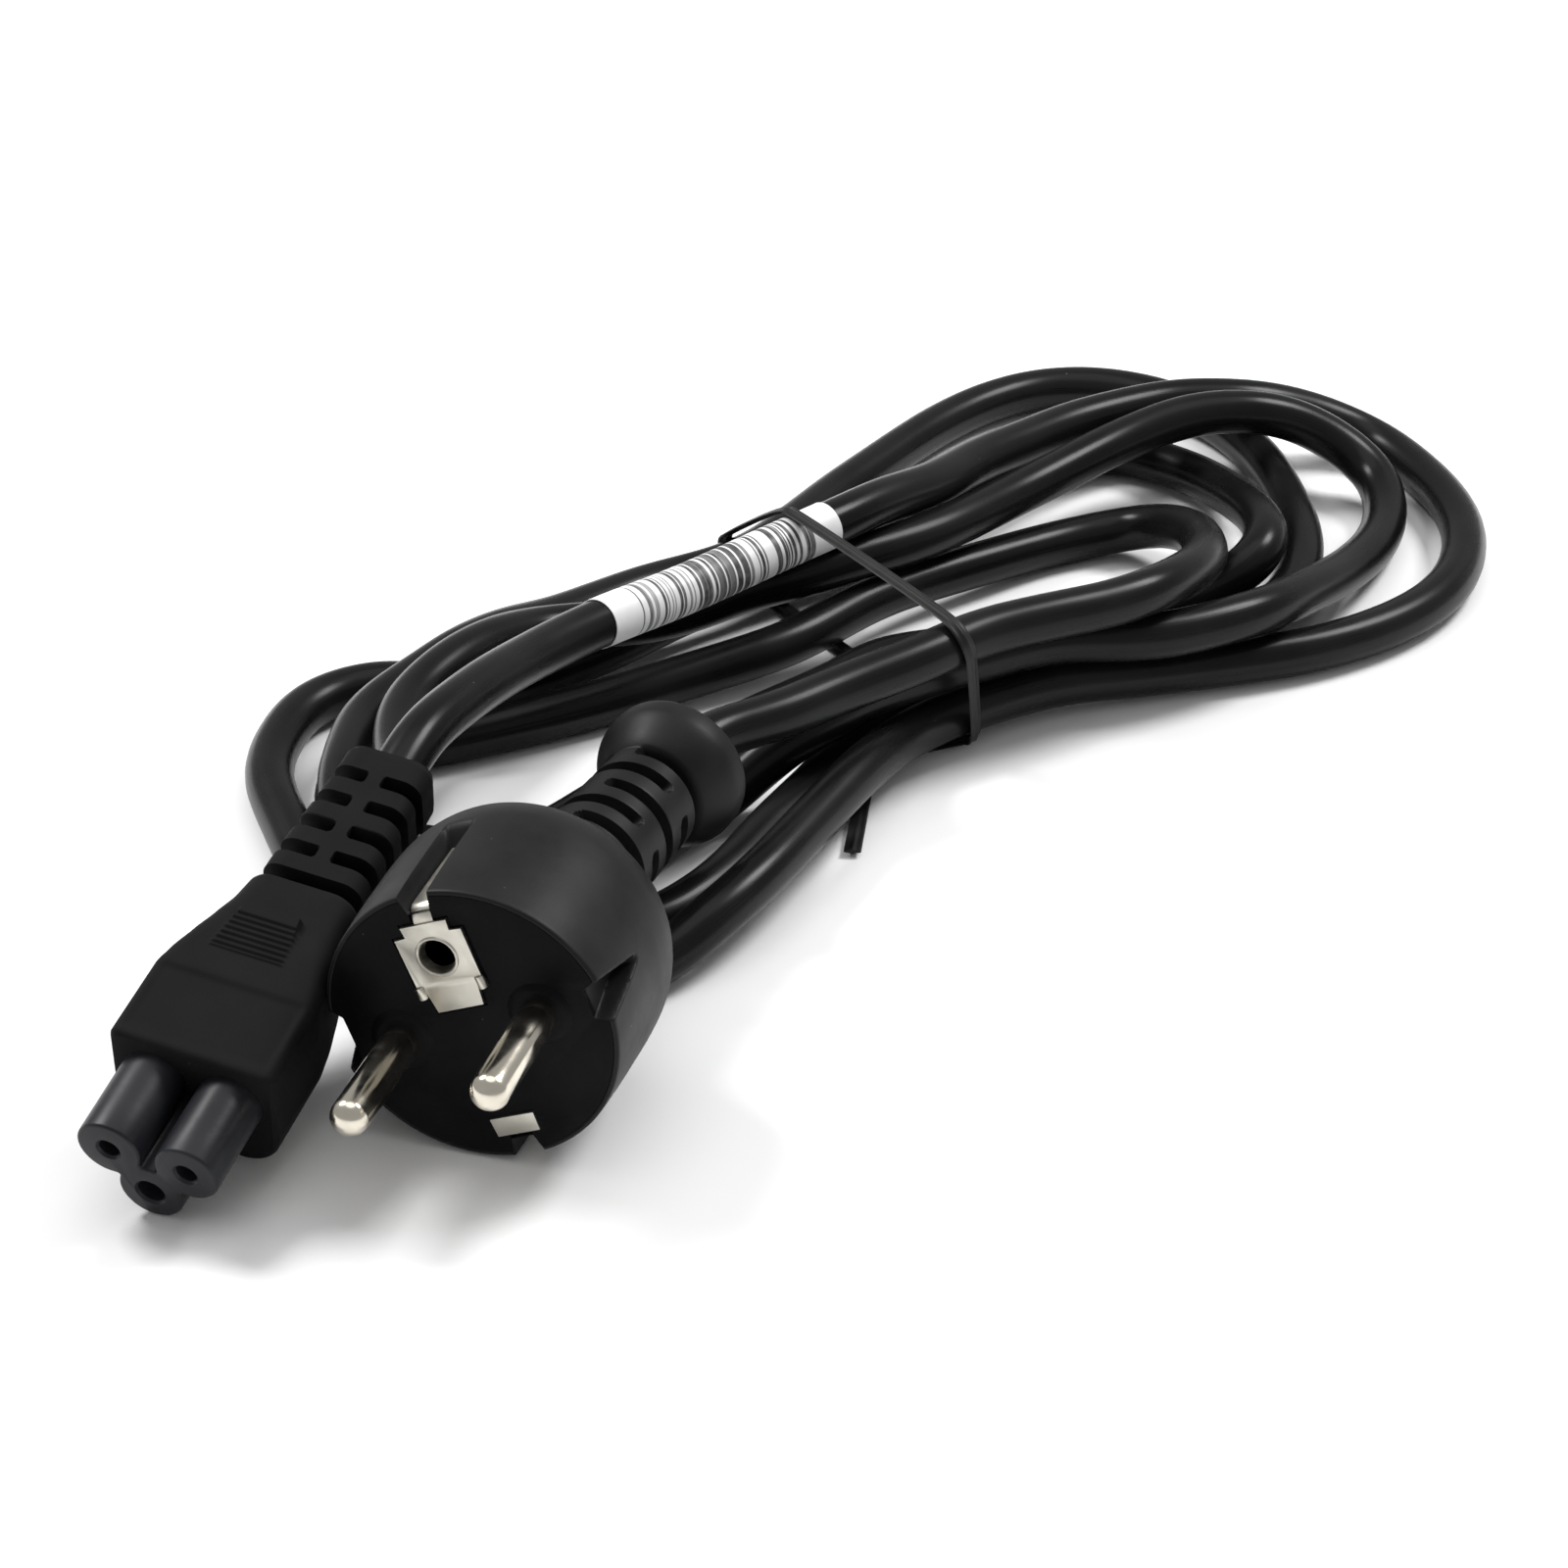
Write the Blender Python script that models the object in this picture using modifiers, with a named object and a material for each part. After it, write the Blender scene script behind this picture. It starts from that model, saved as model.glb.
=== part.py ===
"""Cloverleaf power cord.

A moulded, earthed two-pin mains plug and a three-hole cloverleaf connector lie on a flat surface.
One round cord joins them, folded back and forth into a bundle that a wire tie holds. A paper label is
wrapped round one strand. The plug's pins point along -Y and Z is up. Blender's unit is the metre, and
MM turns millimetres into metres.
"""
from math import cos, pi, radians, sin, sqrt

import bmesh
import bpy
from mathutils import Matrix, Vector

MM = 0.001
GAP = 0.3 * MM                    # clearance between pieces that touch
SEGMENTS = 48                     # sides of a large round

# Cord, label and tie
CORD_R = 3.4 * MM
CORD_TURN = radians(34)           # the tube bends at most this much at one point
CORD_SPAN = 34 * MM               # and has a point at least this often
CORD_LEAD = 6 * MM                # it leaves each end piece straight for this far
LABEL_WALL = 0.2 * MM
LABEL_GAP = 0.25 * MM             # between the paper and the cord inside it
LABEL_START = 56 * MM             # along the cord, from the connector
LABEL_LENGTH = 45.5 * MM
TIE_R = 0.5 * MM
TIE_FROM = Vector((-7, 132, 0)) * MM      # the tie's upright plane passes through these two floor points
TIE_TO = Vector((42, 91, 0)) * MM
TIE_SLACK = LABEL_GAP + LABEL_WALL + GAP

# Plug: depths are measured back from its face, and it lies on its side
PLUG_FACE_R = 18.5 * MM
PLUG_BELLY_R = 18.8 * MM
PLUG_AT = Vector((11.4 * MM, -20 * MM, PLUG_BELLY_R))
PLUG_ROLL = radians(22)
PLUG_SIDE = 20.0 * MM             # depth of the straight side, where the rounded back begins
PLUG_BACK = 29.0 * MM             # depth where the strain relief begins
INSERT_R = 16.4 * MM
INSERT_DEPTH = 6.0 * MM
PIN_R = 2.4 * MM
PIN_REACH = 19.0 * MM
PIN_SPACING = 19.0 * MM
PIN_ROOT = 9.0 * MM               # the part of a pin inside the plug
BOSS_R = 4.1 * MM
BOSS_HEIGHT = 0.6 * MM
EARTH_OFFSET = 10.0 * MM          # from the plug's axis to its earth hole
EARTH_HOLE_R = 2.3 * MM
EARTH_HOLE_DEPTH = 15.0 * MM
CLIP_WALL = 0.6 * MM
CLIP_WIDTH = 8.4 * MM
CLIP_LENGTH = 11.6 * MM
CLIP_SETBACK = 1.8 * MM           # from the leg to the end of the clip's wide plate
LOWER_CLIP_WIDTH = 6.2 * MM
LOWER_CLIP_LENGTH = 1.8 * MM
LEG_WIDTH = 2.6 * MM
LEG_SHORT = 1.5 * MM              # the leg ends this far before its groove does
GROOVE_WIDTH = 3.8 * MM
GROOVE_DEPTH = 2.3 * MM
GROOVE_LENGTH = 17.0 * MM
GUIDE_WIDTH = 6.0 * MM
GUIDE_DEPTH = 2.2 * MM
GUIDE_LENGTH = 9.5 * MM
RELIEF_R = 7.9 * MM
RELIEF_TAIL_R = 7.2 * MM
RELIEF_LENGTH = 29.3 * MM         # from the plug's back to the collar
RELIEF_YAW = radians(-6.5)        # the cord pulls the relief to one side
COLLAR_R = 10.1 * MM
COLLAR_LENGTH = 8.2 * MM
SLOT_WIDTH = 1.7 * MM
SLOT_START = 5.6 * MM
SLOT_PITCH = 4.57 * MM
SLOT_DEPTH = 2.6 * MM
SLOT_ROWS = 6
SLOT_TURN = radians(5)

# Connector: depths are measured back from the end of its nose
BESIDE_PLUG = 12.55 * MM          # from the plug's side to the connector's axis at its nose
CONNECTOR_AT = Vector((PLUG_AT.x - PLUG_BELLY_R - BESIDE_PLUG, -44.9 * MM, 9.5 * MM))
CONNECTOR_YAW = radians(-4.5)
CONNECTOR_PITCH = radians(14.5)
CONNECTOR_ROLL = radians(-7.5)
LOBE_R = 4.15 * MM
HOLE_SPACING = 10.0 * MM          # between the two upper holes
EARTH_DROP = 5.7 * MM             # the earth hole lies this far below them
HOLE_R = 1.35 * MM
EARTH_R = 1.75 * MM
HOLE_DEPTH = 11.0 * MM
NOSE_LENGTH = 12.0 * MM
TENON_WIDTH = 13.0 * MM
TENON_HEIGHT = 9.0 * MM
TENON_DEPTH = 6.0 * MM
CONTACT_SETBACK = 3.0 * MM
CONTACT_WALL = 0.35 * MM
BODY_FRONT = 10.7 * MM            # half width at the front
BODY_TOP = 6.1 * MM               # above the line of the upper holes
BODY_BOTTOM = -10.5 * MM
BODY_AXIS = -2.2 * MM             # height of the cord's line
SHOULDER_DEPTH = 26.0 * MM
NECK_DEPTH = 43.5 * MM
NECK_HALF = 7.3 * MM
CONNECTOR_LENGTH = 69.0 * MM
RIB_HALF = 6.9 * MM
RIB_TAIL_HALF = 6.0 * MM
RIB_HEIGHT = 6.0 * MM
RIB_TAIL_HEIGHT = 4.9 * MM
RIB_CORE = 0.66                   # the grooves' floor, as a share of a rib
RIB_ROWS = 5
RIB_GROOVE = 1.9 * MM
SPINE_WIDTH = 2.4 * MM

# The cord's centreline in millimetres, from the connector's strain relief to the plug's collar
ROUTE = (
    # out of the connector and over the bundle's left end
    (-14.8, 22.7, 24.8), (-14.2, 30, 26.6), (-12.5, 46.5, 25.4), (-10.5, 62.5, 22.4), (-6.5, 77, 20.4),
    (1, 94, 18.6), (10.5, 110, 19.2), (15.5, 118.5, 19.4), (20, 128.5, 18.8), (24.5, 141, 16.4),
    (28, 155.5, 14.2), (33, 167.5, 12.8), (38.5, 177.5, 12.2),
    # the widest loop at the right
    (51, 190, 11.8), (58, 193, 11.6), (64.5, 196, 10.6), (72.5, 200.5, 7.4), (81, 201, 4.4), (90, 193, 3.6),
    (97.5, 181, 3.6), (101, 169.5, 3.6), (101, 156, 3.6), (96.5, 143.5, 3.6), (86, 130.5, 3.6),
    # back along the near side, under the plug's collar and round at the left
    (66.5, 116.5, 4), (52, 106, 5), (42.5, 95, 5.4), (37.5, 87.5, 5.4), (34, 71.5, 7.4), (31.5, 56.5, 7.6),
    (29, 41.5, 7.6), (26, 31.5, 6.8), (19, 20, 3.6), (8.5, 13.5, 3.6), (-3, 14, 7.6), (-14, 20.5, 13.6),
    (-18, 30.5, 16.4), (-21.5, 40, 16), (-23.5, 44.5, 15.6), (-26, 52.5, 15.6), (-26.5, 59.5, 15.6),
    (-24.5, 70, 15.8), (-22, 79.5, 14.4),
    # to the right on the second layer
    (-18, 88.5, 12), (-6, 97.5, 10.8), (-0.5, 103, 10.8), (5, 109, 11.6), (11, 114, 12), (16.5, 120, 12.4),
    (26.5, 133, 12.2), (36, 154.5, 11), (47.5, 172.5, 12.8),
    # the second loop at the right
    (56, 179.5, 14.6), (65, 183.5, 14.6), (72.5, 187, 12), (79.5, 188, 8), (85, 184.5, 5.2),
    (87.5, 177, 3.6), (88, 165, 4), (85.5, 150, 6), (82, 136.5, 9), (77.5, 124.5, 11.2),
    # back on the second layer, down behind the collar and round at the left
    (65.5, 112.5, 11.6), (52.5, 106, 12.2), (43.5, 97.5, 12.4), (32.5, 85.5, 12), (27.5, 77.5, 11.2),
    (23, 71.5, 9.6), (15.5, 63.5, 3.6), (9, 47, 3.6), (-1, 35, 3.6), (-12, 30, 6.4), (-24.5, 32, 10),
    (-30, 40.5, 11.2), (-32.5, 49.5, 11.2), (-34, 58, 10.8), (-33, 66, 10.8), (-31, 72.5, 10.8),
    (-29, 78.5, 11.2),
    # to the right along the far side
    (-25.5, 89, 10), (-21.5, 100.5, 7), (-13.5, 117.5, 4.8), (-2.5, 129, 5.4), (5.5, 161, 4),
    (13.5, 187.5, 3.6), (19, 198, 3.6), (25, 204.5, 3.6), (32, 208, 3.6),
    # the third loop at the right
    (39.5, 208.5, 3.6), (47.5, 206.5, 3.6), (55.5, 201.5, 3.6), (65, 190.5, 3.6), (72, 177, 3.6),
    (77, 163.5, 3.6), (78.5, 150.5, 3.6), (77, 140.5, 3.6), (73, 134, 3.6),
    # back on the floor, under the plug's relief and round the outside at the left
    (67.5, 130, 3.6), (62.5, 126, 3.6), (50.5, 115.5, 5), (40, 103, 5.4), (32, 94, 5.2), (27.5, 74, 3.6),
    (24.5, 58, 3.6), (22, 43, 3.6), (16, 30, 3.6), (5.5, 23.5, 3.6), (-7, 20.5, 3.6), (-19, 22.5, 3.6),
    (-30, 29.5, 3.6), (-38, 39.5, 3.6), (-46, 52, 3.6), (-48.5, 63, 3.6), (-48, 71.5, 3.6),
    (-44.5, 77.5, 3.6), (-38.5, 81.5, 3.6), (-32, 81.5, 3.6),
    # to the right on the floor
    (-25.5, 84.5, 3.6), (-15, 97, 3.6), (-5, 112, 5), (5.5, 127, 5.4), (16, 143, 4.8), (26, 165, 3.6),
    (32.5, 176.5, 3.6),
    # the fourth loop at the right
    (39.5, 184.5, 3.6), (46.5, 185, 3.6), (55, 181, 4.2), (63.5, 172, 6), (71, 159.5, 8.4), (73.5, 151, 9),
    (72.5, 146, 7.8), (69, 144, 5.2),
    # back on the floor and round the inside at the left
    (65, 140.5, 3.8), (60.5, 136.5, 3.6), (48, 125.5, 4.6), (37.5, 112.5, 5.4), (27, 105, 5.4),
    (22, 97, 4.8), (13, 85, 3.6), (6.5, 72.5, 3.6), (1, 59.5, 3.6), (-6, 45, 3.6), (-17, 39.5, 3.6),
    (-28, 41.5, 3.6), (-35, 50.5, 3.6), (-33.5, 61.5, 3.6), (-26.5, 67.5, 3.6),
    # to the right on the floor once more
    (-15.5, 77.5, 3.6), (-10, 83, 3.6), (1, 94, 4.4), (12, 105.5, 5.4), (21.5, 124.5, 5.4),
    (32.5, 140.5, 4.4), (41.5, 152, 3.6),
    # the innermost loop, which climbs to the third layer
    (49.5, 157.5, 4.2), (55.5, 157, 6.2), (62, 150.5, 9.4), (66.5, 139.5, 12.8), (68, 128.5, 15.6),
    (66.5, 119, 17.6), (64, 112, 18.8), (59.5, 106.5, 18.8),
    # over the bundle and into the plug's collar
    (53.5, 100.5, 19.2), (44.5, 91.5, 19.4), (39.5, 84, 19.2), (29.5, 71, 18.6), (24, 62.5, 18.6),
    (17, 53.5, 18.8), (15.6, 45.7, 18.8),
)

# The tie's tail in millimetres, from its free end to the loop
TAIL = ((35.5, 60, 0.8), (34.2, 67, 0.7), (33, 73.5, 0.7), (32.2, 80, 0.7), (34.5, 87, 0.7))


def clear_scene():
    for thing in list(bpy.data.objects):
        bpy.data.objects.remove(thing, do_unlink=True)


def collection(name):
    group = bpy.data.collections.new(name)
    bpy.context.scene.collection.children.link(group)
    return group


def material(name, colour, roughness, metallic=0.0):
    mat = bpy.data.materials.new(name)
    mat.use_nodes = True
    shader = mat.node_tree.nodes["Principled BSDF"]
    shader.inputs["Base Color"].default_value = (*colour, 1.0)
    shader.inputs["Roughness"].default_value = roughness
    shader.inputs["Metallic"].default_value = metallic
    mat.diffuse_color = (*colour, 1.0)
    return mat


def add(name, data, group, mat=None, parent=None):
    thing = bpy.data.objects.new(name, data)
    group.objects.link(thing)
    if mat is not None:
        data.materials.append(mat)
    if parent is not None:
        thing.parent = parent
    return thing


def as_cutter(thing):
    thing.hide_render = True
    thing.display_type = "WIRE"
    return thing


def combine(thing, other, operation):
    step = thing.modifiers.new(other.name, "BOOLEAN")
    step.operation = operation
    step.solver = "EXACT"
    step.object = other


def frame(name, place, yaw, pitch, roll, group):
    """An empty whose Z runs out of an end piece's face, with X to the right and Y up before its roll."""
    empty = bpy.data.objects.new(name, None)
    group.objects.link(empty)
    turn = Matrix.Rotation(yaw, 4, "Z") @ Matrix.Rotation(pi / 2 + pitch, 4, "X")
    empty.matrix_world = Matrix.Translation(place) @ turn @ Matrix.Rotation(roll, 4, "Z")
    return empty


def box_mesh(name, size, centre):
    mesh = bpy.data.meshes.new(name)
    bm = bmesh.new()
    bmesh.ops.create_cube(bm, size=1.0, matrix=Matrix.Translation(centre) @ Matrix.Diagonal((*size, 1.0)))
    bm.to_mesh(mesh)
    bm.free()
    return mesh


def rod_mesh(name, radius, top, bottom, centre=(0.0, 0.0), sides=24, top_radius=None):
    """A closed cylinder along Z from bottom to top, or a cone where top_radius differs."""
    mesh = bpy.data.meshes.new(name)
    bm = bmesh.new()
    place = Matrix.Translation((centre[0], centre[1], (top + bottom) / 2))
    upper = radius if top_radius is None else top_radius
    bmesh.ops.create_cone(bm, cap_ends=True, segments=sides, radius1=radius, radius2=upper,
                          depth=top - bottom, matrix=place)
    bm.to_mesh(mesh)
    bm.free()
    return mesh


def turned(name, profile, group, mat=None, parent=None, sides=SEGMENTS):
    """A profile of (radius, height) points turned about Z, from the axis at the top to it at the bottom."""
    mesh = bpy.data.meshes.new(name)
    bm = bmesh.new()
    corners = [bm.verts.new((radius, 0.0, height)) for radius, height in profile]
    for first, second in zip(corners, corners[1:]):
        bm.edges.new((first, second))
    bm.to_mesh(mesh)
    bm.free()
    thing = add(name, mesh, group, mat, parent)
    screw = thing.modifiers.new("turn", "SCREW")
    screw.steps = sides
    screw.render_steps = sides
    screw.use_merge_vertices = True
    screw.merge_threshold = 0.00001
    screw.use_smooth_shade = True
    return thing


def rounded_outline(half, top, bottom, upper, lower, depth, steps=3):
    """A rectangle in X and Y with its upper and lower corners rounded, at the given depth."""
    corners = (
        (half, top, upper, 0),
        (-half, top, upper, 1),
        (-half, bottom, lower, 2),
        (half, bottom, lower, 3),
    )
    outline = []
    for x, y, radius, quarter in corners:
        centre = (x - radius * (1 if x > 0 else -1), y - radius * (1 if y > BODY_AXIS else -1))
        for step in range(steps + 1):
            angle = (quarter + step / steps) * pi / 2
            outline.append((centre[0] + radius * cos(angle), centre[1] + radius * sin(angle), -depth))
    return outline


def lofted(name, outlines, group, mat=None, parent=None):
    """A closed skin through outlines that have the same number of points, from the front to the back."""
    mesh = bpy.data.meshes.new(name)
    bm = bmesh.new()
    rings = [[bm.verts.new(point) for point in outline] for outline in outlines]
    for ring, following in zip(rings, rings[1:]):
        count = len(ring)
        for i in range(count):
            j = (i + 1) % count
            bm.faces.new((ring[j], ring[i], following[i], following[j]))
    bm.faces.new(rings[0])
    bm.faces.new(list(reversed(rings[-1])))
    bmesh.ops.recalc_face_normals(bm, faces=bm.faces)
    bm.to_mesh(mesh)
    bm.free()
    return add(name, mesh, group, mat, parent)


def smooth_curve(points, step):
    """Points about one step apart along a centripetal curve through the given points, above the floor."""
    line = [2 * points[0] - points[1]] + list(points) + [2 * points[-1] - points[-2]]
    dense = []
    for p0, p1, p2, p3 in zip(line, line[1:], line[2:], line[3:]):
        t1 = sqrt((p1 - p0).length)
        t2 = t1 + sqrt((p2 - p1).length)
        t3 = t2 + sqrt((p3 - p2).length)
        count = max(2, int((p2 - p1).length / step))
        for k in range(count):
            t = t1 + (t2 - t1) * k / count
            a1 = p0.lerp(p1, t / t1)
            a2 = p1.lerp(p2, (t - t1) / (t2 - t1))
            a3 = p2.lerp(p3, (t - t2) / (t3 - t2))
            b1 = a1.lerp(a2, t / t2)
            b2 = a2.lerp(a3, (t - t1) / (t3 - t1))
            dense.append(b1.lerp(b2, (t - t1) / (t2 - t1)))
    dense.append(points[-1].copy())
    for point in dense:
        point.z = max(point.z, CORD_R + 0.1 * MM)
    return dense


def thinned(dense, turn, span, lead):
    """The curve's points, fewer on its straight stretches, with a short straight lead at each end."""
    kept = [dense[0]]
    heading = dense[1] - dense[0]
    for point, after in zip(dense[1:], dense[2:]):
        from_start = (point - dense[0]).length
        from_end = (point - dense[-1]).length
        first_lead = len(kept) == 1 and from_start >= lead
        last_lead = from_end < lead <= (kept[-1] - dense[-1]).length
        bent = heading.angle(after - point) >= turn or (point - kept[-1]).length >= span
        if first_lead or last_lead or (bent and min(from_start, from_end) > lead):
            kept.append(point)
            heading = after - point
    kept.append(dense[-1])
    return kept


def stretch(points, start, length):
    """The part of a line of points that begins start along it and is length long."""
    inside = []
    travelled = 0.0
    for first, second in zip(points, points[1:]):
        leg = (second - first).length
        low = max(start, travelled)
        high = min(start + length, travelled + leg)
        if low < high:
            if not inside:
                inside.append(first.lerp(second, (low - travelled) / leg))
            inside.append(first.lerp(second, (high - travelled) / leg))
        travelled += leg
    return inside


def tube(name, points, radius, group, mat=None, resolution=4, caps=True):
    data = bpy.data.curves.new(name, "CURVE")
    data.dimensions = "3D"
    data.bevel_depth = radius
    data.bevel_resolution = resolution
    data.use_fill_caps = caps
    line = data.splines.new("POLY")
    line.points.add(len(points) - 1)
    for spot, point in zip(line.points, points):
        spot.co = (*point, 1.0)
    return add(name, data, group, mat)


def plug_body(frame_of, group, cutters, mat):
    body = turned("plug_body", (
        (0.0, 0.0), (PLUG_FACE_R - 0.6 * MM, 0.0), (PLUG_FACE_R, -0.7 * MM),
        (PLUG_BELLY_R, -PLUG_SIDE * 0.45), (PLUG_BELLY_R, -PLUG_SIDE * 0.8),
        (PLUG_BELLY_R - 0.4 * MM, -PLUG_SIDE),
        (PLUG_BELLY_R - 1.7 * MM, -PLUG_SIDE - (PLUG_BACK - PLUG_SIDE) * 0.42),
        (PLUG_BELLY_R - 4.3 * MM, -PLUG_SIDE - (PLUG_BACK - PLUG_SIDE) * 0.75),
        (PLUG_BELLY_R - 7.6 * MM, -PLUG_BACK + 0.6 * MM), (0.0, -PLUG_BACK),
    ), group, mat, frame_of)

    relief = turned("relief_core", relief_profile(), cutters, parent=relief_frame(cutters), sides=36)
    as_cutter(relief)
    for cut in relief_slots(cutters, relief.parent):
        combine(relief, cut, "DIFFERENCE")
    combine(body, relief, "UNION")

    recess = rod_mesh("face_recess", INSERT_R + GAP, 2 * MM, -INSERT_DEPTH - GAP, sides=SEGMENTS)
    combine(body, as_cutter(add("face_recess", recess, cutters, parent=frame_of)), "DIFFERENCE")
    for side in (-1, 1):
        place = (side * PIN_SPACING / 2, 0.0)
        socket = rod_mesh("pin_socket", PIN_R + GAP, 0.0, -PIN_ROOT - GAP, place)
        cut = as_cutter(add(f"pin_socket_{side + 1}", socket, cutters, parent=frame_of))
        combine(body, cut, "DIFFERENCE")
    well = rod_mesh("earth_well", EARTH_HOLE_R + GAP, 0.0, -EARTH_HOLE_DEPTH, (0.0, EARTH_OFFSET))
    combine(body, as_cutter(add("earth_well", well, cutters, parent=frame_of)), "DIFFERENCE")
    return body


def relief_frame(cutters):
    """The relief leaves the plug's back at a slight turn, level with the floor."""
    empty = bpy.data.objects.new("relief_frame", None)
    cutters.objects.link(empty)
    root = Matrix.Translation(PLUG_AT + Vector((0.0, PLUG_BACK - 1.0 * MM, 0.0)))
    level = Matrix.Rotation(RELIEF_YAW, 4, "Z") @ Matrix.Rotation(pi / 2, 4, "X")
    empty.matrix_world = root @ level @ Matrix.Rotation(PLUG_ROLL, 4, "Z")
    return empty


def relief_profile():
    """The relief and its collar, from inside the plug's back to the end that the cord leaves."""
    neck = RELIEF_LENGTH
    end = RELIEF_LENGTH + COLLAR_LENGTH
    return (
        (0.0, 4 * MM), (RELIEF_R, 4 * MM), (RELIEF_R, 0.0), (RELIEF_TAIL_R, -neck),
        (RELIEF_TAIL_R + 0.5 * MM, -neck - 0.7 * MM), (COLLAR_R - 0.7 * MM, -neck - 2.0 * MM),
        (COLLAR_R, -neck - 3.3 * MM), (COLLAR_R, -end + 2.2 * MM), (COLLAR_R - 0.6 * MM, -end + 0.8 * MM),
        (COLLAR_R - 1.9 * MM, -end), (0.0, -end),
    )


def relief_slots(cutters, parent):
    """Flat-bottomed slots in pairs, each pair a quarter turn from the one before."""
    slots = []
    for row in range(SLOT_ROWS):
        depth = SLOT_START + row * SLOT_PITCH
        radius = RELIEF_R + (RELIEF_TAIL_R - RELIEF_R) * depth / RELIEF_LENGTH
        for side in (-1, 1):
            reach = 4 * MM
            middle = side * (radius - SLOT_DEPTH + reach / 2)
            block = box_mesh("slot", (reach, 2.6 * radius, SLOT_WIDTH), (middle, 0.0, -depth))
            slot = as_cutter(add(f"slot_{row}_{side + 1}", block, cutters, parent=parent))
            slot.rotation_euler = (0.0, 0.0, SLOT_TURN + (row + 1) % 2 * pi / 2)
            slots.append(slot)
    return slots


def plug_grooves(frame_of, cutters):
    """The two grooves for the socket's earth clips and the two tapered ones for its guide ribs."""
    grooves = []
    for side in (-1, 1):
        reach = GROOVE_DEPTH + 2 * MM
        middle = side * (PLUG_FACE_R - GROOVE_DEPTH + reach / 2)
        size = (GROOVE_WIDTH, reach, GROOVE_LENGTH + 2 * MM)
        block = box_mesh("clip_groove", size, (0.0, middle, 1 * MM - GROOVE_LENGTH / 2))
        grooves.append(as_cutter(add(f"clip_groove_{side + 1}", block, cutters, parent=frame_of)))

        reach = GUIDE_DEPTH + 2 * MM
        middle = side * (PLUG_FACE_R - GUIDE_DEPTH + reach / 2)
        size = (reach, GUIDE_WIDTH, GUIDE_LENGTH + 1 * MM)
        wedge = box_mesh("guide_groove", size, (middle, 0.0, (1 * MM - GUIDE_LENGTH) / 2))
        for corner in wedge.vertices:
            if corner.co.z < -GUIDE_LENGTH / 2:
                corner.co.y *= 0.12
        grooves.append(as_cutter(add(f"guide_groove_{side + 1}", wedge, cutters, parent=frame_of)))
    return grooves


def plug_insert(frame_of, group, cutters, mat):
    """The hard face piece that carries the pins, with a low boss round each."""
    disc = rod_mesh("plug_insert", INSERT_R, 0.0, -INSERT_DEPTH, sides=SEGMENTS)
    insert = add("plug_insert", disc, group, mat, frame_of)
    for side in (-1, 1):
        place = (side * PIN_SPACING / 2, 0.0)
        boss = rod_mesh("boss", BOSS_R, BOSS_HEIGHT, -1 * MM, place, top_radius=BOSS_R - 0.5 * MM)
        combine(insert, as_cutter(add(f"boss_{side + 1}", boss, cutters, parent=frame_of)), "UNION")
        hole = rod_mesh("pin_hole", PIN_R + GAP, 3 * MM, -INSERT_DEPTH - 1 * MM, place)
        combine(insert, as_cutter(add(f"pin_hole_{side + 1}", hole, cutters, parent=frame_of)), "DIFFERENCE")
    hole = rod_mesh("earth_hole", EARTH_HOLE_R, 3 * MM, -INSERT_DEPTH - 1 * MM, (0.0, EARTH_OFFSET))
    combine(insert, as_cutter(add("earth_hole", hole, cutters, parent=frame_of)), "DIFFERENCE")
    return insert


def plug_pins(frame_of, group, mat):
    for name, side in (("pin_right", 1), ("pin_left", -1)):
        pin = turned(name, (
            (0.0, PIN_REACH), (PIN_R * 0.45, PIN_REACH - 0.25 * MM), (PIN_R * 0.8, PIN_REACH - 0.95 * MM),
            (PIN_R * 0.97, PIN_REACH - 1.9 * MM), (PIN_R, PIN_REACH - 2.6 * MM),
            (PIN_R, -PIN_ROOT), (0.0, -PIN_ROOT),
        ), group, mat, frame_of, sides=24)
        pin.location = (side * PIN_SPACING / 2, 0.0, 0.0)


def earth_clips(frame_of, group, cutters, mat):
    """A plate on the face round the earth hole and a short one opposite, each with a leg in its groove."""
    seat = PLUG_FACE_R - GROOVE_DEPTH + GAP
    plate_end = seat - CLIP_SETBACK
    height = GAP + CLIP_WALL / 2
    for name, side, width, length in (("earth_clip_upper", 1, CLIP_WIDTH, CLIP_LENGTH),
                                      ("earth_clip_lower", -1, LOWER_CLIP_WIDTH, LOWER_CLIP_LENGTH)):
        plate = box_mesh(name, (width, length, CLIP_WALL), (0.0, side * (plate_end - length / 2), height))
        clip = add(name, plate, group, mat, frame_of)
        tongue_end = seat + CLIP_WALL
        tongue = box_mesh("tongue", (LEG_WIDTH, tongue_end - plate_end + 1 * MM, CLIP_WALL),
                          (0.0, side * (tongue_end + plate_end - 1 * MM) / 2, height))
        combine(clip, as_cutter(add(name + "_tongue", tongue, cutters, parent=frame_of)), "UNION")
        leg_end = GROOVE_LENGTH - LEG_SHORT
        leg = box_mesh("leg", (LEG_WIDTH, CLIP_WALL, leg_end + GAP + CLIP_WALL),
                       (0.0, side * (seat + CLIP_WALL / 2), (GAP + CLIP_WALL - leg_end) / 2))
        combine(clip, as_cutter(add(name + "_leg", leg, cutters, parent=frame_of)), "UNION")
        if side > 0:
            hole = rod_mesh("clip_hole", EARTH_HOLE_R, 3 * MM, -1 * MM, (0.0, EARTH_OFFSET))
            combine(clip, as_cutter(add("clip_hole", hole, cutters, parent=frame_of)), "DIFFERENCE")


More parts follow.
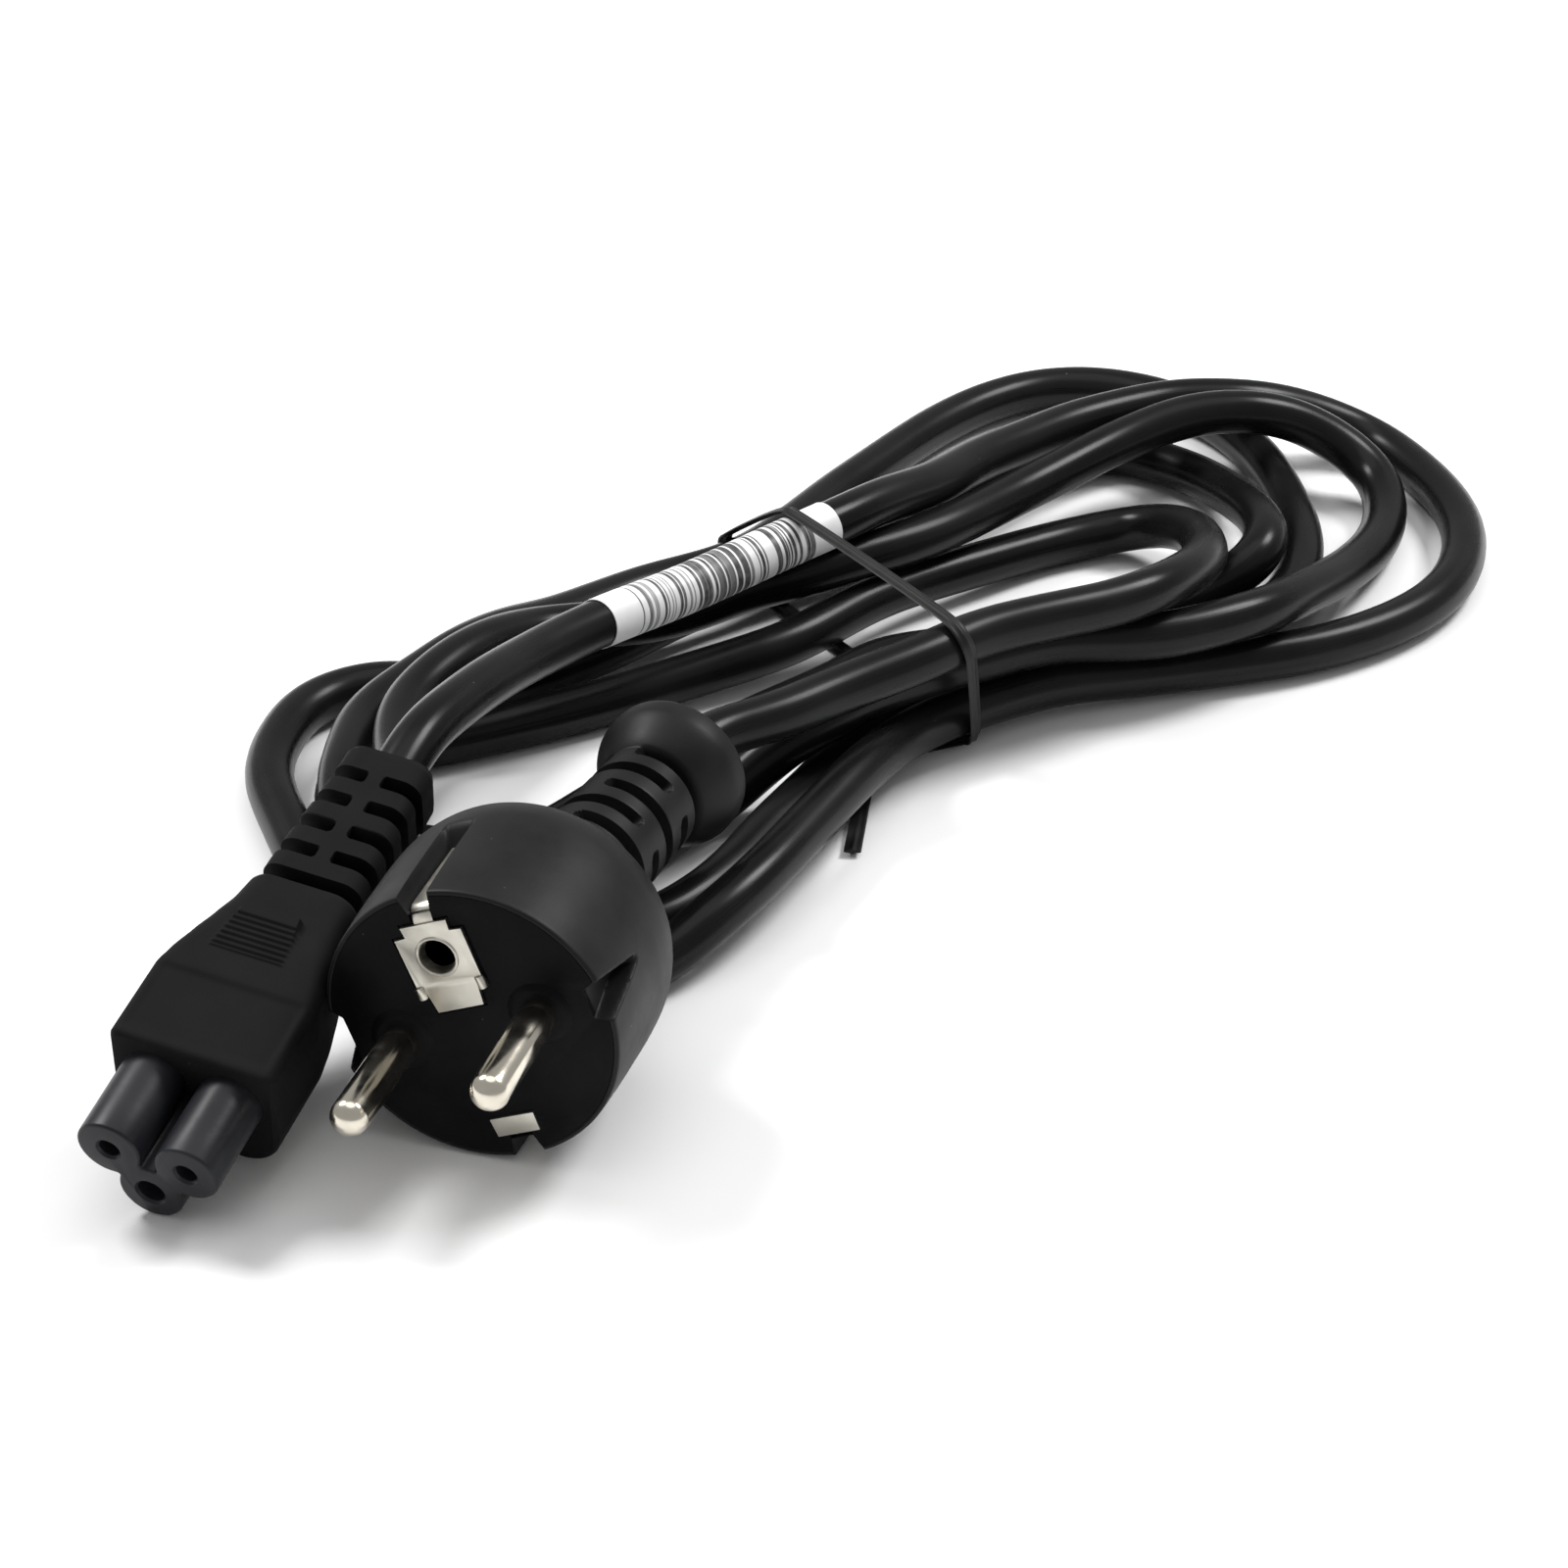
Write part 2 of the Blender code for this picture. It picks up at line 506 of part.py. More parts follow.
def connector_body(frame_of, group, cutters, mat):
    """The overmould: a deep front, a shoulder, a neck and a ribbed strain relief with two spines."""
    half_way = (SHOULDER_DEPTH + NECK_DEPTH) / 2
    outlines = [
        body_outline(BODY_FRONT - 0.5 * MM, 0.5 * MM, 0.5 * MM, 1.2 * MM, 4.4 * MM, NOSE_LENGTH),
        body_outline(BODY_FRONT, 0.0, 0.0, 1.6 * MM, 4.8 * MM, NOSE_LENGTH + 0.7 * MM),
        body_outline(BODY_FRONT, 0.0, 0.0, 1.8 * MM, 4.8 * MM, SHOULDER_DEPTH - 2 * MM),
        body_outline(BODY_FRONT - 0.4 * MM, 0.0, 0.2 * MM, 2.2 * MM, 4.8 * MM, SHOULDER_DEPTH + 1 * MM),
        body_outline(NECK_HALF + 1.3 * MM, 0.6 * MM, 1.2 * MM, 3 * MM, 4.4 * MM, half_way),
        body_outline(NECK_HALF + 0.2 * MM, 1.5 * MM, 2.2 * MM, 3.2 * MM, 4 * MM, NECK_DEPTH - 3 * MM),
        body_outline(NECK_HALF, 1.8 * MM, 2.5 * MM, 3.2 * MM, 4 * MM, NECK_DEPTH - 0.6 * MM),
        body_outline(NECK_HALF - 0.6 * MM, 2.4 * MM, 3 * MM, 3 * MM, 3.6 * MM, NECK_DEPTH),
    ]
    rib_pitch = (CONNECTOR_LENGTH - NECK_DEPTH - 1.2 * MM) / RIB_ROWS
    for row in range(RIB_ROWS):
        front = NECK_DEPTH + row * rib_pitch + RIB_GROOVE
        back = CONNECTOR_LENGTH if row == RIB_ROWS - 1 else NECK_DEPTH + (row + 1) * rib_pitch
        outlines.append(rib_outline(row - 0.5, RIB_CORE, NECK_DEPTH + row * rib_pitch + 0.01 * MM))
        outlines.append(rib_outline(row - 0.5, RIB_CORE, front - 0.01 * MM))
        outlines.append(rib_outline(row, 0.94, front))
        outlines.append(rib_outline(row, 1.0, front + 0.4 * MM))
        outlines.append(rib_outline(row, 1.0, back - 0.4 * MM))
        outlines.append(rib_outline(row, 0.94, back))
    body = lofted("connector_body", outlines, group, mat, frame_of)

    for side in (-1, 1):
        start = NECK_DEPTH - 2 * MM
        length = CONNECTOR_LENGTH - 2 * MM - start
        middle = BODY_AXIS + side * (RIB_HEIGHT + RIB_TAIL_HEIGHT) / 4
        spine = box_mesh("spine", (SPINE_WIDTH, (RIB_HEIGHT + RIB_TAIL_HEIGHT) / 2 - 0.9 * MM, length),
                         (0.0, middle, -start - length / 2))
        for corner in spine.vertices:
            if corner.co.z < -start - length / 2:
                corner.co.y -= side * 0.9 * MM
        combine(body, as_cutter(add(f"spine_{side + 1}", spine, cutters, parent=frame_of)), "UNION")

    pocket = tenon_mesh("pocket", GAP)
    combine(body, as_cutter(add("pocket", pocket, cutters, parent=frame_of)), "DIFFERENCE")
    return body


def body_outline(half, below_top, above_bottom, upper, lower, depth):
    """The overmould's outline, lowered from its full height at the top and raised at the bottom."""
    return rounded_outline(half, BODY_TOP - below_top, BODY_BOTTOM + above_bottom, upper, lower, depth)


def rib_outline(row, share, depth):
    """The relief's outline at one rib, or a share of it, tapering along the rows."""
    along = max(0.0, min(1.0, row / (RIB_ROWS - 1)))
    half = (RIB_HALF + (RIB_TAIL_HALF - RIB_HALF) * along) * share
    height = (RIB_HEIGHT + (RIB_TAIL_HEIGHT - RIB_HEIGHT) * along) * share
    corner = 2.6 * MM * share
    return rounded_outline(half, BODY_AXIS + height, BODY_AXIS - height, corner, corner, depth)


def tenon_mesh(name, clearance):
    """The root of the nose inside the body, or with a clearance the pocket that holds it."""
    size = (TENON_WIDTH + 2 * clearance, TENON_HEIGHT + 2 * clearance, TENON_DEPTH + 2 * MM + clearance)
    return box_mesh(name, size, (0.0, -EARTH_DROP / 2, -NOSE_LENGTH - (TENON_DEPTH - 2 * MM + clearance) / 2))


def connector_nose(frame_of, group, cutters, mat):
    """Three round lobes joined by a web, each with a hole for one of the appliance's pins."""
    back = -NOSE_LENGTH + GAP
    holes = hole_places()
    lobes = [rod_mesh("connector_nose", LOBE_R, 0.0, back, (x, y), sides=28) for x, y, _ in holes]
    nose = add("connector_nose", lobes[0], group, mat, frame_of)
    for number, lobe in enumerate(lobes[1:]):
        combine(nose, as_cutter(add(f"lobe_{number}", lobe, cutters, parent=frame_of)), "UNION")
    middle = (0.0, -EARTH_DROP / 2 - 0.2 * MM, back / 2)
    web = box_mesh("web", (HOLE_SPACING * 0.7, EARTH_DROP, -back), middle)
    combine(nose, as_cutter(add("web", web, cutters, parent=frame_of)), "UNION")
    tenon = tenon_mesh("tenon", 0.0)
    combine(nose, as_cutter(add("tenon", tenon, cutters, parent=frame_of)), "UNION")
    for number, (x, y, radius) in enumerate(holes):
        hole = rod_mesh("hole", radius, 2 * MM, -HOLE_DEPTH, (x, y), sides=20)
        combine(nose, as_cutter(add(f"hole_{number}", hole, cutters, parent=frame_of)), "DIFFERENCE")
    return nose


def hole_places():
    return (
        (-HOLE_SPACING / 2, 0.0, HOLE_R),
        (HOLE_SPACING / 2, 0.0, HOLE_R),
        (0.0, -EARTH_DROP, EARTH_R),
    )


def connector_contacts(frame_of, group, mat):
    """A spring sleeve set back in each hole, open at its front."""
    for name, (x, y, radius) in zip(("contact_left", "contact_right", "contact_earth"), hole_places()):
        outer = radius - GAP
        inner = outer - CONTACT_WALL
        back = -HOLE_DEPTH + GAP
        contact = turned(name, (
            (0.0, back + 1 * MM), (inner, back + 1 * MM), (inner, -CONTACT_SETBACK),
            (outer, -CONTACT_SETBACK), (outer, back), (0.0, back),
        ), group, mat, frame_of, sides=16)
        contact.location = (x, y, 0.0)


def tie_loop(cord):
    """The taut loop of wire round every strand that crosses the tie's plane, as points in that plane."""
    along = (TIE_TO - TIE_FROM).normalized()
    across = Vector((-along.y, along.x, 0.0))
    grown = CORD_R + TIE_SLACK + TIE_R
    rim = []
    for first, second in zip(cord, cord[1:]):
        before = (first - TIE_FROM).dot(across)
        after = (second - TIE_FROM).dot(across)
        if before * after > 0 or before == after:
            continue
        crossing = first.lerp(second, before / (before - after))
        place = (crossing - TIE_FROM).dot(along)
        if not -10 * MM < place < (TIE_TO - TIE_FROM).length + 20 * MM:
            continue
        slant = abs((second - first).normalized().dot(across))
        for step in range(24):
            angle = step * pi / 12
            height = max(crossing.z + grown * sin(angle), TIE_R + 0.1 * MM)
            rim.append((place + grown / slant * cos(angle), height))
    hull = convex_hull(rim)
    return [TIE_FROM + along * place + Vector((0.0, 0.0, height)) for place, height in hull]


def convex_hull(points):
    """The corners of the smallest convex outline round the points, anticlockwise from the lowest left one."""
    ordered = sorted(set(points))
    halves = []
    for run in (ordered, list(reversed(ordered))):
        half = []
        for point in run:
            while len(half) > 1 and turn_of(half[-2], half[-1], point) <= 0:
                half.pop()
            half.append(point)
        halves.append(half[:-1])
    return halves[0] + halves[1]


def turn_of(a, b, c):
    return (b[0] - a[0]) * (c[1] - a[1]) - (b[1] - a[1]) * (c[0] - a[0])


def wire_tie(cord, group, mat):
    """The loop, closed by a short tail of its two ends on the floor at the near side."""
    loop = spaced(tie_loop(cord), 0.9 * MM)
    lowest = [i for i, point in enumerate(loop) if point.z < 2 * TIE_R]
    knot = max(lowest, key=lambda i: (loop[i] - TIE_FROM).length)
    ordered = loop[knot:] + loop[:knot]
    while (ordered[-1] - ordered[0]).length < 4 * TIE_R:
        ordered.pop()
    closing = ordered[-1] - ordered[0]
    ordered.append(ordered[0] + closing.normalized() * 4 * TIE_R)
    tail = [Vector(point) * MM for point in TAIL]
    return tube("wire_tie", tail + ordered, TIE_R, group, mat, resolution=2)


def spaced(points, least):
    kept = [points[0]]
    for point in points[1:]:
        if (point - kept[-1]).length >= least:
            kept.append(point)
    return kept


def paper_label(cord, group, mat):
    """A strip of paper rolled once round the cord."""
    path = stretch(cord, LABEL_START, LABEL_LENGTH)
    sleeve = tube("label_guide", path, CORD_R + LABEL_GAP + LABEL_WALL, group, resolution=4, caps=False)
    bpy.context.view_layer.update()
    evaluated = sleeve.evaluated_get(bpy.context.evaluated_depsgraph_get())
    mesh = bpy.data.meshes.new_from_object(evaluated)
    bpy.data.objects.remove(sleeve, do_unlink=True)
    label = add("paper_label", mesh, group, mat)
    wall = label.modifiers.new("paper", "SOLIDIFY")
    wall.thickness = LABEL_WALL
    wall.offset = -1.0
    return label


def build():
    clear_scene()
    parts = collection("cloverleaf_power_cord")
    cutters = collection("cutters")
    rubber = material("black_pvc", (0.035, 0.035, 0.037), 0.55)
    hard = material("hard_black_plastic", (0.028, 0.028, 0.032), 0.42)
    jacket = material("cord_jacket", (0.032, 0.032, 0.034), 0.48)
    nickel = material("nickel", (0.72, 0.69, 0.62), 0.22, 1.0)
    sleeve = material("contact_brass", (0.62, 0.50, 0.28), 0.35, 1.0)
    paper = material("white_paper", (0.86, 0.86, 0.84), 0.8)
    wire = material("tie_plastic", (0.03, 0.03, 0.03), 0.5)

    plug = frame("plug_frame", PLUG_AT, 0.0, 0.0, PLUG_ROLL, cutters)
    body = plug_body(plug, parts, cutters, rubber)
    insert = plug_insert(plug, parts, cutters, hard)
    for groove in plug_grooves(plug, cutters):
        combine(body, groove, "DIFFERENCE")
        combine(insert, groove, "DIFFERENCE")
    plug_pins(plug, parts, nickel)
    earth_clips(plug, parts, cutters, nickel)

    connector = frame("connector_frame", CONNECTOR_AT, CONNECTOR_YAW, CONNECTOR_PITCH, CONNECTOR_ROLL,
                      cutters)
    connector_body(connector, parts, cutters, rubber)
    connector_nose(connector, parts, cutters, hard)
    connector_contacts(connector, parts, sleeve)

    dense = smooth_curve([Vector(point) * MM for point in ROUTE], 1.5 * MM)
    cord = thinned(dense, CORD_TURN, CORD_SPAN, CORD_LEAD)
    tube("cord", cord, CORD_R, parts, jacket)
    paper_label(cord, parts, paper)
    wire_tie(cord, parts, wire)


build()
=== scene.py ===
"""Cloverleaf power cord: the looks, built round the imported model.

Sizes here are millimetres in an end piece's own frame, or in the row frame for what lies on the floor,
and MM turns them into Blender's metres. In an end piece's frame x is to the right, y is up and depth
runs back from its face.
"""
from math import cos, pi, radians, sin, sqrt

import bmesh
import bpy
import numpy as np
from mathutils import Matrix, Vector


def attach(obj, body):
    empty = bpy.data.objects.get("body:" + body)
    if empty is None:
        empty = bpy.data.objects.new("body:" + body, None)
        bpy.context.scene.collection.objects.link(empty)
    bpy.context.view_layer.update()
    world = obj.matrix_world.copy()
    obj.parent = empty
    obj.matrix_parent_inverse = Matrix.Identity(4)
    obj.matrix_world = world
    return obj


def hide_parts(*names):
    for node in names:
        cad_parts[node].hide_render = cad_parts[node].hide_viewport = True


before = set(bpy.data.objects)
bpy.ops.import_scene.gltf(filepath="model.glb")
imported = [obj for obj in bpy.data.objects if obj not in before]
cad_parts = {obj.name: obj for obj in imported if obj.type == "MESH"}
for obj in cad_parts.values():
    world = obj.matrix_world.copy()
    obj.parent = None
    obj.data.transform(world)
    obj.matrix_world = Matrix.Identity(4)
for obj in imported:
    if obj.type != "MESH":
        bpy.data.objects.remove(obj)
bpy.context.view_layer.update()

MM = 0.001

# The camera and the light, in the row frame
CAMERA_AT = (166.6, -403.1, 292.6)
CAMERA_AIM = (21.0, 76.0, 0.0)
CAMERA_LENS = 95.6
SENSOR_WIDTH = 36.0
# place, power in watts and width in metres
SOFT_BOXES = dict(
    left_box=((-489, 175, 609), 4.2, 0.28), right_box=((390, 442, 609), 4.2, 0.28),
    overhead_box=((0, 120, 950), 2.0, 0.8),
)
WORLD_LIGHT = 0.42
FLOOR_R = 4000.0
FLOOR_DROP = 0.1                  # the floor lies this far below the object

# Cord, label and tie
CORD_R = 3.4
CORD_STEP = 1.25                  # between the rings of the jacket
CORD_SIDES = 24
CORD_BURIED = 4.0                 # how far it runs on inside each moulding
CORD_LIFT = 0.1                   # the least height of its underside
CORD_EASE = 4.0                   # how far along the cord its small wobbles are smoothed out
LABEL_START = 56.0                # along the cord, from the connector
LABEL_LENGTH = 45.5
LABEL_R = 3.46
LABEL_WALL = 0.13
LABEL_MARGIN = 5.2                # bare paper before and after the bars
LABEL_EDGE = 200.0                # the angle at which its inner edge lies
LABEL_TURN = 405.0                # how far round it goes, so that its ends overlap
LABEL_CLIMB = (300.0, 372.0)      # where it rises over its own inner edge
LAP_GAP = 0.05
TIE_FROM = (-7.0, 132.0)          # the tie's upright plane passes through these two floor points
TIE_TO = (42.0, 91.0)
TIE_LEAN = -0.27                  # how far it leans out of that plane for each millimetre of height
TIE_LEVEL = 10.3                  # the height at which it is in the plane
TIE_WIDTH = 2.4
TIE_EDGE = 0.34                   # thickness at its thin edges
TIE_RIDGE = 0.85                  # thickness over the wire in its middle
TIE_CLEAR = 0.35                  # between the tie and the strands in it
TIE_REACH = (-10, 20)             # it goes round strands this far before its first point and past its second
TIE_STEP = 0.8
# the tie's tail, from its free end to the loop
TIE_TAIL = ((35.5, 60, 0.8), (34.2, 67, 0.7), (33, 73.5, 0.7), (32.2, 80, 0.7), (34.5, 87, 0.7))

# Plug
PLUG_AT = (11.4, -20.0, 18.8)
PLUG_ROLL = 22.0
RIM_R = 18.5
FACE_R = 17.85
FACE_WALL = 0.75
FACE_GAP = 0.03                   # between the face piece and the lip round it
RELIEF_ROOT = 28.0                # depth where the relief starts to turn
RELIEF_YAW = -6.5
RELIEF_START = 29.6
RELIEF_END = 57.3
RELIEF_R = (7.9, 7.2)
RELIEF_RINGS = 112
# (radius, depth) down the side and round the back, and down the collar's flare and its end
SIDE_CURVE = ((18.5, 0.6), (18.72, 6), (18.8, 11), (18.8, 16), (18.45, 20), (17.2, 23.7), (14.6, 26.6),
              (11.2, 28.3), (8.9, 28.9), (8.05, RELIEF_START))
COLLAR_FLARE = ((7.35, 57.45), (7.6, 57.75), (7.95, 58.2), (8.5, 59.1), (9.05, 60.1), (9.55, 61.1),
                (9.85, 61.85), (10.0, 62.35), (10.1, 62.9), (10.1, 64.7), (10.02, 65.1), (9.8, 65.35),
                (9.5, 65.5))
COLLAR_END = ((6.0, 65.5), (3.9, 65.5), (3.6, 65.3))
SLOT_DEPTHS = (33.6, 38.2, 42.8, 47.3, 52.0, 56.4)
SLOT_HALF = 0.85
SLOT_R = 7.5                      # the radius at which a slot's round ends are drawn
SLOT_CUT = 2.5
SLOT_SPAN = 73.0                  # half the angle that a slot takes up
SLOT_MIDDLES = (5.0, 95.0)        # of the odd and the even rows
SLOT_EDGE = 0.2                   # how soft a slot's edge is
GROOVE = dict(half=1.9, floor=15.9, length=17.0, ramp=3.2)
GUIDE = dict(right=(-2.6, 2.4), left=(-2.4, 5.2), floor=16.0, length=9.3, taper=0.88)
PIN_R = 2.4
PIN_REACH = 19.0
PIN_ROOT = 5.0
PIN_X = 9.5
EARTH_Y = 10.0
EARTH_HOLE_R = 2.8
# (radius, depth) of the boss round a pin, of the raised ring on the upper plate and of its bore
PIN_BOSS = ((0.0, -0.55), (2.9, -0.55), (3.3, -0.5), (3.75, -0.3), (4.1, 0.02), (4.15, 0.4), (0.0, 0.4))
EARTH_RING = ((0.0, -0.62), (2.42, -0.62), (2.56, -0.6), (2.68, -0.52), (2.74, -0.35), (2.74, 0.9),
              (0.0, 0.9))
EARTH_BORE = ((0.0, -2.0), (2.46, -2.0), (2.46, -0.62), (2.3, -0.45), (1.98, 0.9), (1.98, 3.0),
              (0.0, 3.0))
PLATE_FRONT = -0.35               # the plates stand this far out of the face
PLATE_EDGE = 0.05                 # the round on the plates' edges
# the right half of the upper plate's outline from the top down, and the lower plate's whole outline
UPPER_PLATE = ((3.15, 14.5), (3.0, 13.1), (4.55, 13.0), (4.45, 6.0), (3.5, 5.7), (3.1, 2.7))
LOWER_PLATE = ((-3.0, -12.7), (-2.85, -15.2), (2.9, -15.2), (3.0, -12.7))
LEG_HALF = 1.3
# (depth, height) along a leg's outer and inner side, round the bend from its plate
LEG_OUTER = ((0.05, 14.0), (0.2, 15.0), (0.6, 15.9), (1.4, 16.42), (2.6, 16.5))
LEG_INNER = ((2.6, 15.98), (1.6, 15.92), (0.9, 15.6), (0.55, 14.9), (0.4, 14.0))
LEG_END = 15.0
CURL = dict(outer=0.62, inner=0.28, span=(-90, 170), points=14, between=(4.9, 6.5), x=4.1, z=0.25)

# Connector
CONNECTOR_AT = (-19.95, -44.9, 9.5)
CONNECTOR_TURN = (-4.5, 14.5, -7.5)
CONNECTOR_LENGTH = 69.0
BODY_AXIS = -2.2
FRONT_DEPTH = 12.0
CREASE_DEPTH = 24.0
NECK_DEPTH = 43.5
LOBE_R = 4.15
LOBES = ((-5.0, 0.0, 1.35), (5.0, 0.0, 1.35), (0.0, -5.7, 1.75))
HOLE_DEPTH = 11.0
RIB_PITCH = 4.86
RIB_GROOVE = 1.75
RIB_CORE = 0.62
SPINE_HALF = 1.2
PAD_MIDDLE = -0.8
PAD_HALF = (4.9, 3.8)             # at its front and at its back
PAD_START = 28.75
PAD_END = 36.6
PAD_RIBS_END = 34.95
PAD_PITCH = 0.885
PAD_LIFT = 0.25                   # of its ribs above the top at its front
PAD_SINK = 0.3                    # of its valleys below its ribs
RECESS_START = 13.7
RECESS_HALF = 9.4
RECESS_SINK = 0.26
CREST = 0.12                      # height of the low crest behind the crease
RIB_ROWS = 5
# depth, half width, top, bottom, upper corner, lower corner
BODY_STATIONS = (
    (12.0, 10.25, 5.65, -10.05, 1.1, 4.4), (12.3, 10.5, 5.95, -10.35, 1.2, 4.6),
    (12.8, 10.7, 6.1, -10.5, 1.3, 4.8), (24.0, 10.7, 6.1, -10.5, 1.6, 4.8),
    (27.0, 10.35, 6.0, -10.35, 2.0, 4.8), (31.0, 9.5, 5.8, -9.9, 2.6, 4.6),
    (35.0, 8.55, 5.4, -9.3, 3.0, 4.4), (39.5, 7.65, 4.75, -8.6, 3.2, 4.1),
    (42.6, 7.35, 4.35, -8.15, 3.2, 4.0), (43.2, 7.15, 4.15, -7.95, 3.2, 3.9),
    (43.45, 6.8, 3.8, -7.6, 3.0, 3.6), (43.5, 6.5, 3.6, -7.3, 3.0, 3.4),
    (43.7, 6.75, 3.75, -8.15, 2.6, 2.6), (69.0, 6.0, 2.7, -7.1, 2.5, 2.5),
)

# The cord's centreline, from the connector's strain relief to the plug's collar, as in the CAD source
ROUTE = (
    # out of the connector and over the bundle's left end
    (-14.8, 22.7, 24.8), (-14.2, 30, 26.6), (-12.5, 46.5, 25.4), (-10.5, 62.5, 22.4), (-6.5, 77, 20.4),
    (1, 94, 18.6), (10.5, 110, 19.2), (15.5, 118.5, 19.4), (20, 128.5, 18.8), (24.5, 141, 16.4),
    (28, 155.5, 14.2), (33, 167.5, 12.8), (38.5, 177.5, 12.2),
    # the widest loop at the right
    (51, 190, 11.8), (58, 193, 11.6), (64.5, 196, 10.6), (72.5, 200.5, 7.4), (81, 201, 4.4), (90, 193, 3.6),
    (97.5, 181, 3.6), (101, 169.5, 3.6), (101, 156, 3.6), (96.5, 143.5, 3.6), (86, 130.5, 3.6),
    # back along the near side, under the plug's collar and round at the left
    (66.5, 116.5, 4), (52, 106, 5), (42.5, 95, 5.4), (37.5, 87.5, 5.4), (34, 71.5, 7.4), (31.5, 56.5, 7.6),
    (29, 41.5, 7.6), (26, 31.5, 6.8), (19, 20, 3.6), (8.5, 13.5, 3.6), (-3, 14, 7.6), (-14, 20.5, 13.6),
    (-18, 30.5, 16.4), (-21.5, 40, 16), (-23.5, 44.5, 15.6), (-26, 52.5, 15.6), (-26.5, 59.5, 15.6),
    (-24.5, 70, 15.8), (-22, 79.5, 14.4),
    # to the right on the second layer
    (-18, 88.5, 12), (-6, 97.5, 10.8), (-0.5, 103, 10.8), (5, 109, 11.6), (11, 114, 12), (16.5, 120, 12.4),
    (26.5, 133, 12.2), (36, 154.5, 11), (47.5, 172.5, 12.8),
    # the second loop at the right
    (56, 179.5, 14.6), (65, 183.5, 14.6), (72.5, 187, 12), (79.5, 188, 8), (85, 184.5, 5.2),
    (87.5, 177, 3.6), (88, 165, 4), (85.5, 150, 6), (82, 136.5, 9), (77.5, 124.5, 11.2),
    # back on the second layer, down behind the collar and round at the left
    (65.5, 112.5, 11.6), (52.5, 106, 12.2), (43.5, 97.5, 12.4), (32.5, 85.5, 12), (27.5, 77.5, 11.2),
    (23, 71.5, 9.6), (15.5, 63.5, 3.6), (9, 47, 3.6), (-1, 35, 3.6), (-12, 30, 6.4), (-24.5, 32, 10),
    (-30, 40.5, 11.2), (-32.5, 49.5, 11.2), (-34, 58, 10.8), (-33, 66, 10.8), (-31, 72.5, 10.8),
    (-29, 78.5, 11.2),
    # to the right along the far side
    (-25.5, 89, 10), (-21.5, 100.5, 7), (-13.5, 117.5, 4.8), (-2.5, 129, 5.4), (5.5, 161, 4),
    (13.5, 187.5, 3.6), (19, 198, 3.6), (25, 204.5, 3.6), (32, 208, 3.6),
    # the third loop at the right
    (39.5, 208.5, 3.6), (47.5, 206.5, 3.6), (55.5, 201.5, 3.6), (65, 190.5, 3.6), (72, 177, 3.6),
    (77, 163.5, 3.6), (78.5, 150.5, 3.6), (77, 140.5, 3.6), (73, 134, 3.6),
    # back on the floor, under the plug's relief and round the outside at the left
    (67.5, 130, 3.6), (62.5, 126, 3.6), (50.5, 115.5, 5), (40, 103, 5.4), (32, 94, 5.2), (27.5, 74, 3.6),
    (24.5, 58, 3.6), (22, 43, 3.6), (16, 30, 3.6), (5.5, 23.5, 3.6), (-7, 20.5, 3.6), (-19, 22.5, 3.6),
    (-30, 29.5, 3.6), (-38, 39.5, 3.6), (-46, 52, 3.6), (-48.5, 63, 3.6), (-48, 71.5, 3.6),
    (-44.5, 77.5, 3.6), (-38.5, 81.5, 3.6), (-32, 81.5, 3.6),
    # to the right on the floor
    (-25.5, 84.5, 3.6), (-15, 97, 3.6), (-5, 112, 5), (5.5, 127, 5.4), (16, 143, 4.8), (26, 165, 3.6),
    (32.5, 176.5, 3.6),
    # the fourth loop at the right
    (39.5, 184.5, 3.6), (46.5, 185, 3.6), (55, 181, 4.2), (63.5, 172, 6), (71, 159.5, 8.4), (73.5, 151, 9),
    (72.5, 146, 7.8), (69, 144, 5.2),
    # back on the floor and round the inside at the left
    (65, 140.5, 3.8), (60.5, 136.5, 3.6), (48, 125.5, 4.6), (37.5, 112.5, 5.4), (27, 105, 5.4),
    (22, 97, 4.8), (13, 85, 3.6), (6.5, 72.5, 3.6), (1, 59.5, 3.6), (-6, 45, 3.6), (-17, 39.5, 3.6),
    (-28, 41.5, 3.6), (-35, 50.5, 3.6), (-33.5, 61.5, 3.6), (-26.5, 67.5, 3.6),
    # to the right on the floor once more
    (-15.5, 77.5, 3.6), (-10, 83, 3.6), (1, 94, 4.4), (12, 105.5, 5.4), (21.5, 124.5, 5.4),
    (32.5, 140.5, 4.4), (41.5, 152, 3.6),
    # the innermost loop, which climbs to the third layer
    (49.5, 157.5, 4.2), (55.5, 157, 6.2), (62, 150.5, 9.4), (66.5, 139.5, 12.8), (68, 128.5, 15.6),
    (66.5, 119, 17.6), (64, 112, 18.8), (59.5, 106.5, 18.8),
    # over the bundle and into the plug's collar
    (53.5, 100.5, 19.2), (44.5, 91.5, 19.4), (39.5, 84, 19.2), (29.5, 71, 18.6), (24, 62.5, 18.6),
    (17, 53.5, 18.8), (15.6, 45.7, 18.8),
)


def axes_of(place, yaw, pitch, roll):
    """The matrix of an end piece's frame, whose z runs out of its face."""
    turn = (Matrix.Rotation(radians(yaw), 4, "Z") @ Matrix.Rotation(pi / 2 + radians(pitch), 4, "X")
            @ Matrix.Rotation(radians(roll), 4, "Z"))
    return Matrix.Translation(Vector(place) * MM) @ turn


PLUG = axes_of(PLUG_AT, 0.0, 0.0, PLUG_ROLL)
CONNECTOR = axes_of(CONNECTOR_AT, *CONNECTOR_TURN)


def step_up(value, start, end):
    t = np.clip((np.asarray(value, float) - start) / (end - start), 0.0, 1.0)
    return t * t * (3 - 2 * t)


def between(value, low, high, soft):
    """1 between low and high, easing to 0 over the distance soft at each side."""
    half = soft / 2
    return step_up(value, low - half, low + half) * (1 - step_up(value, high - half, high + half))


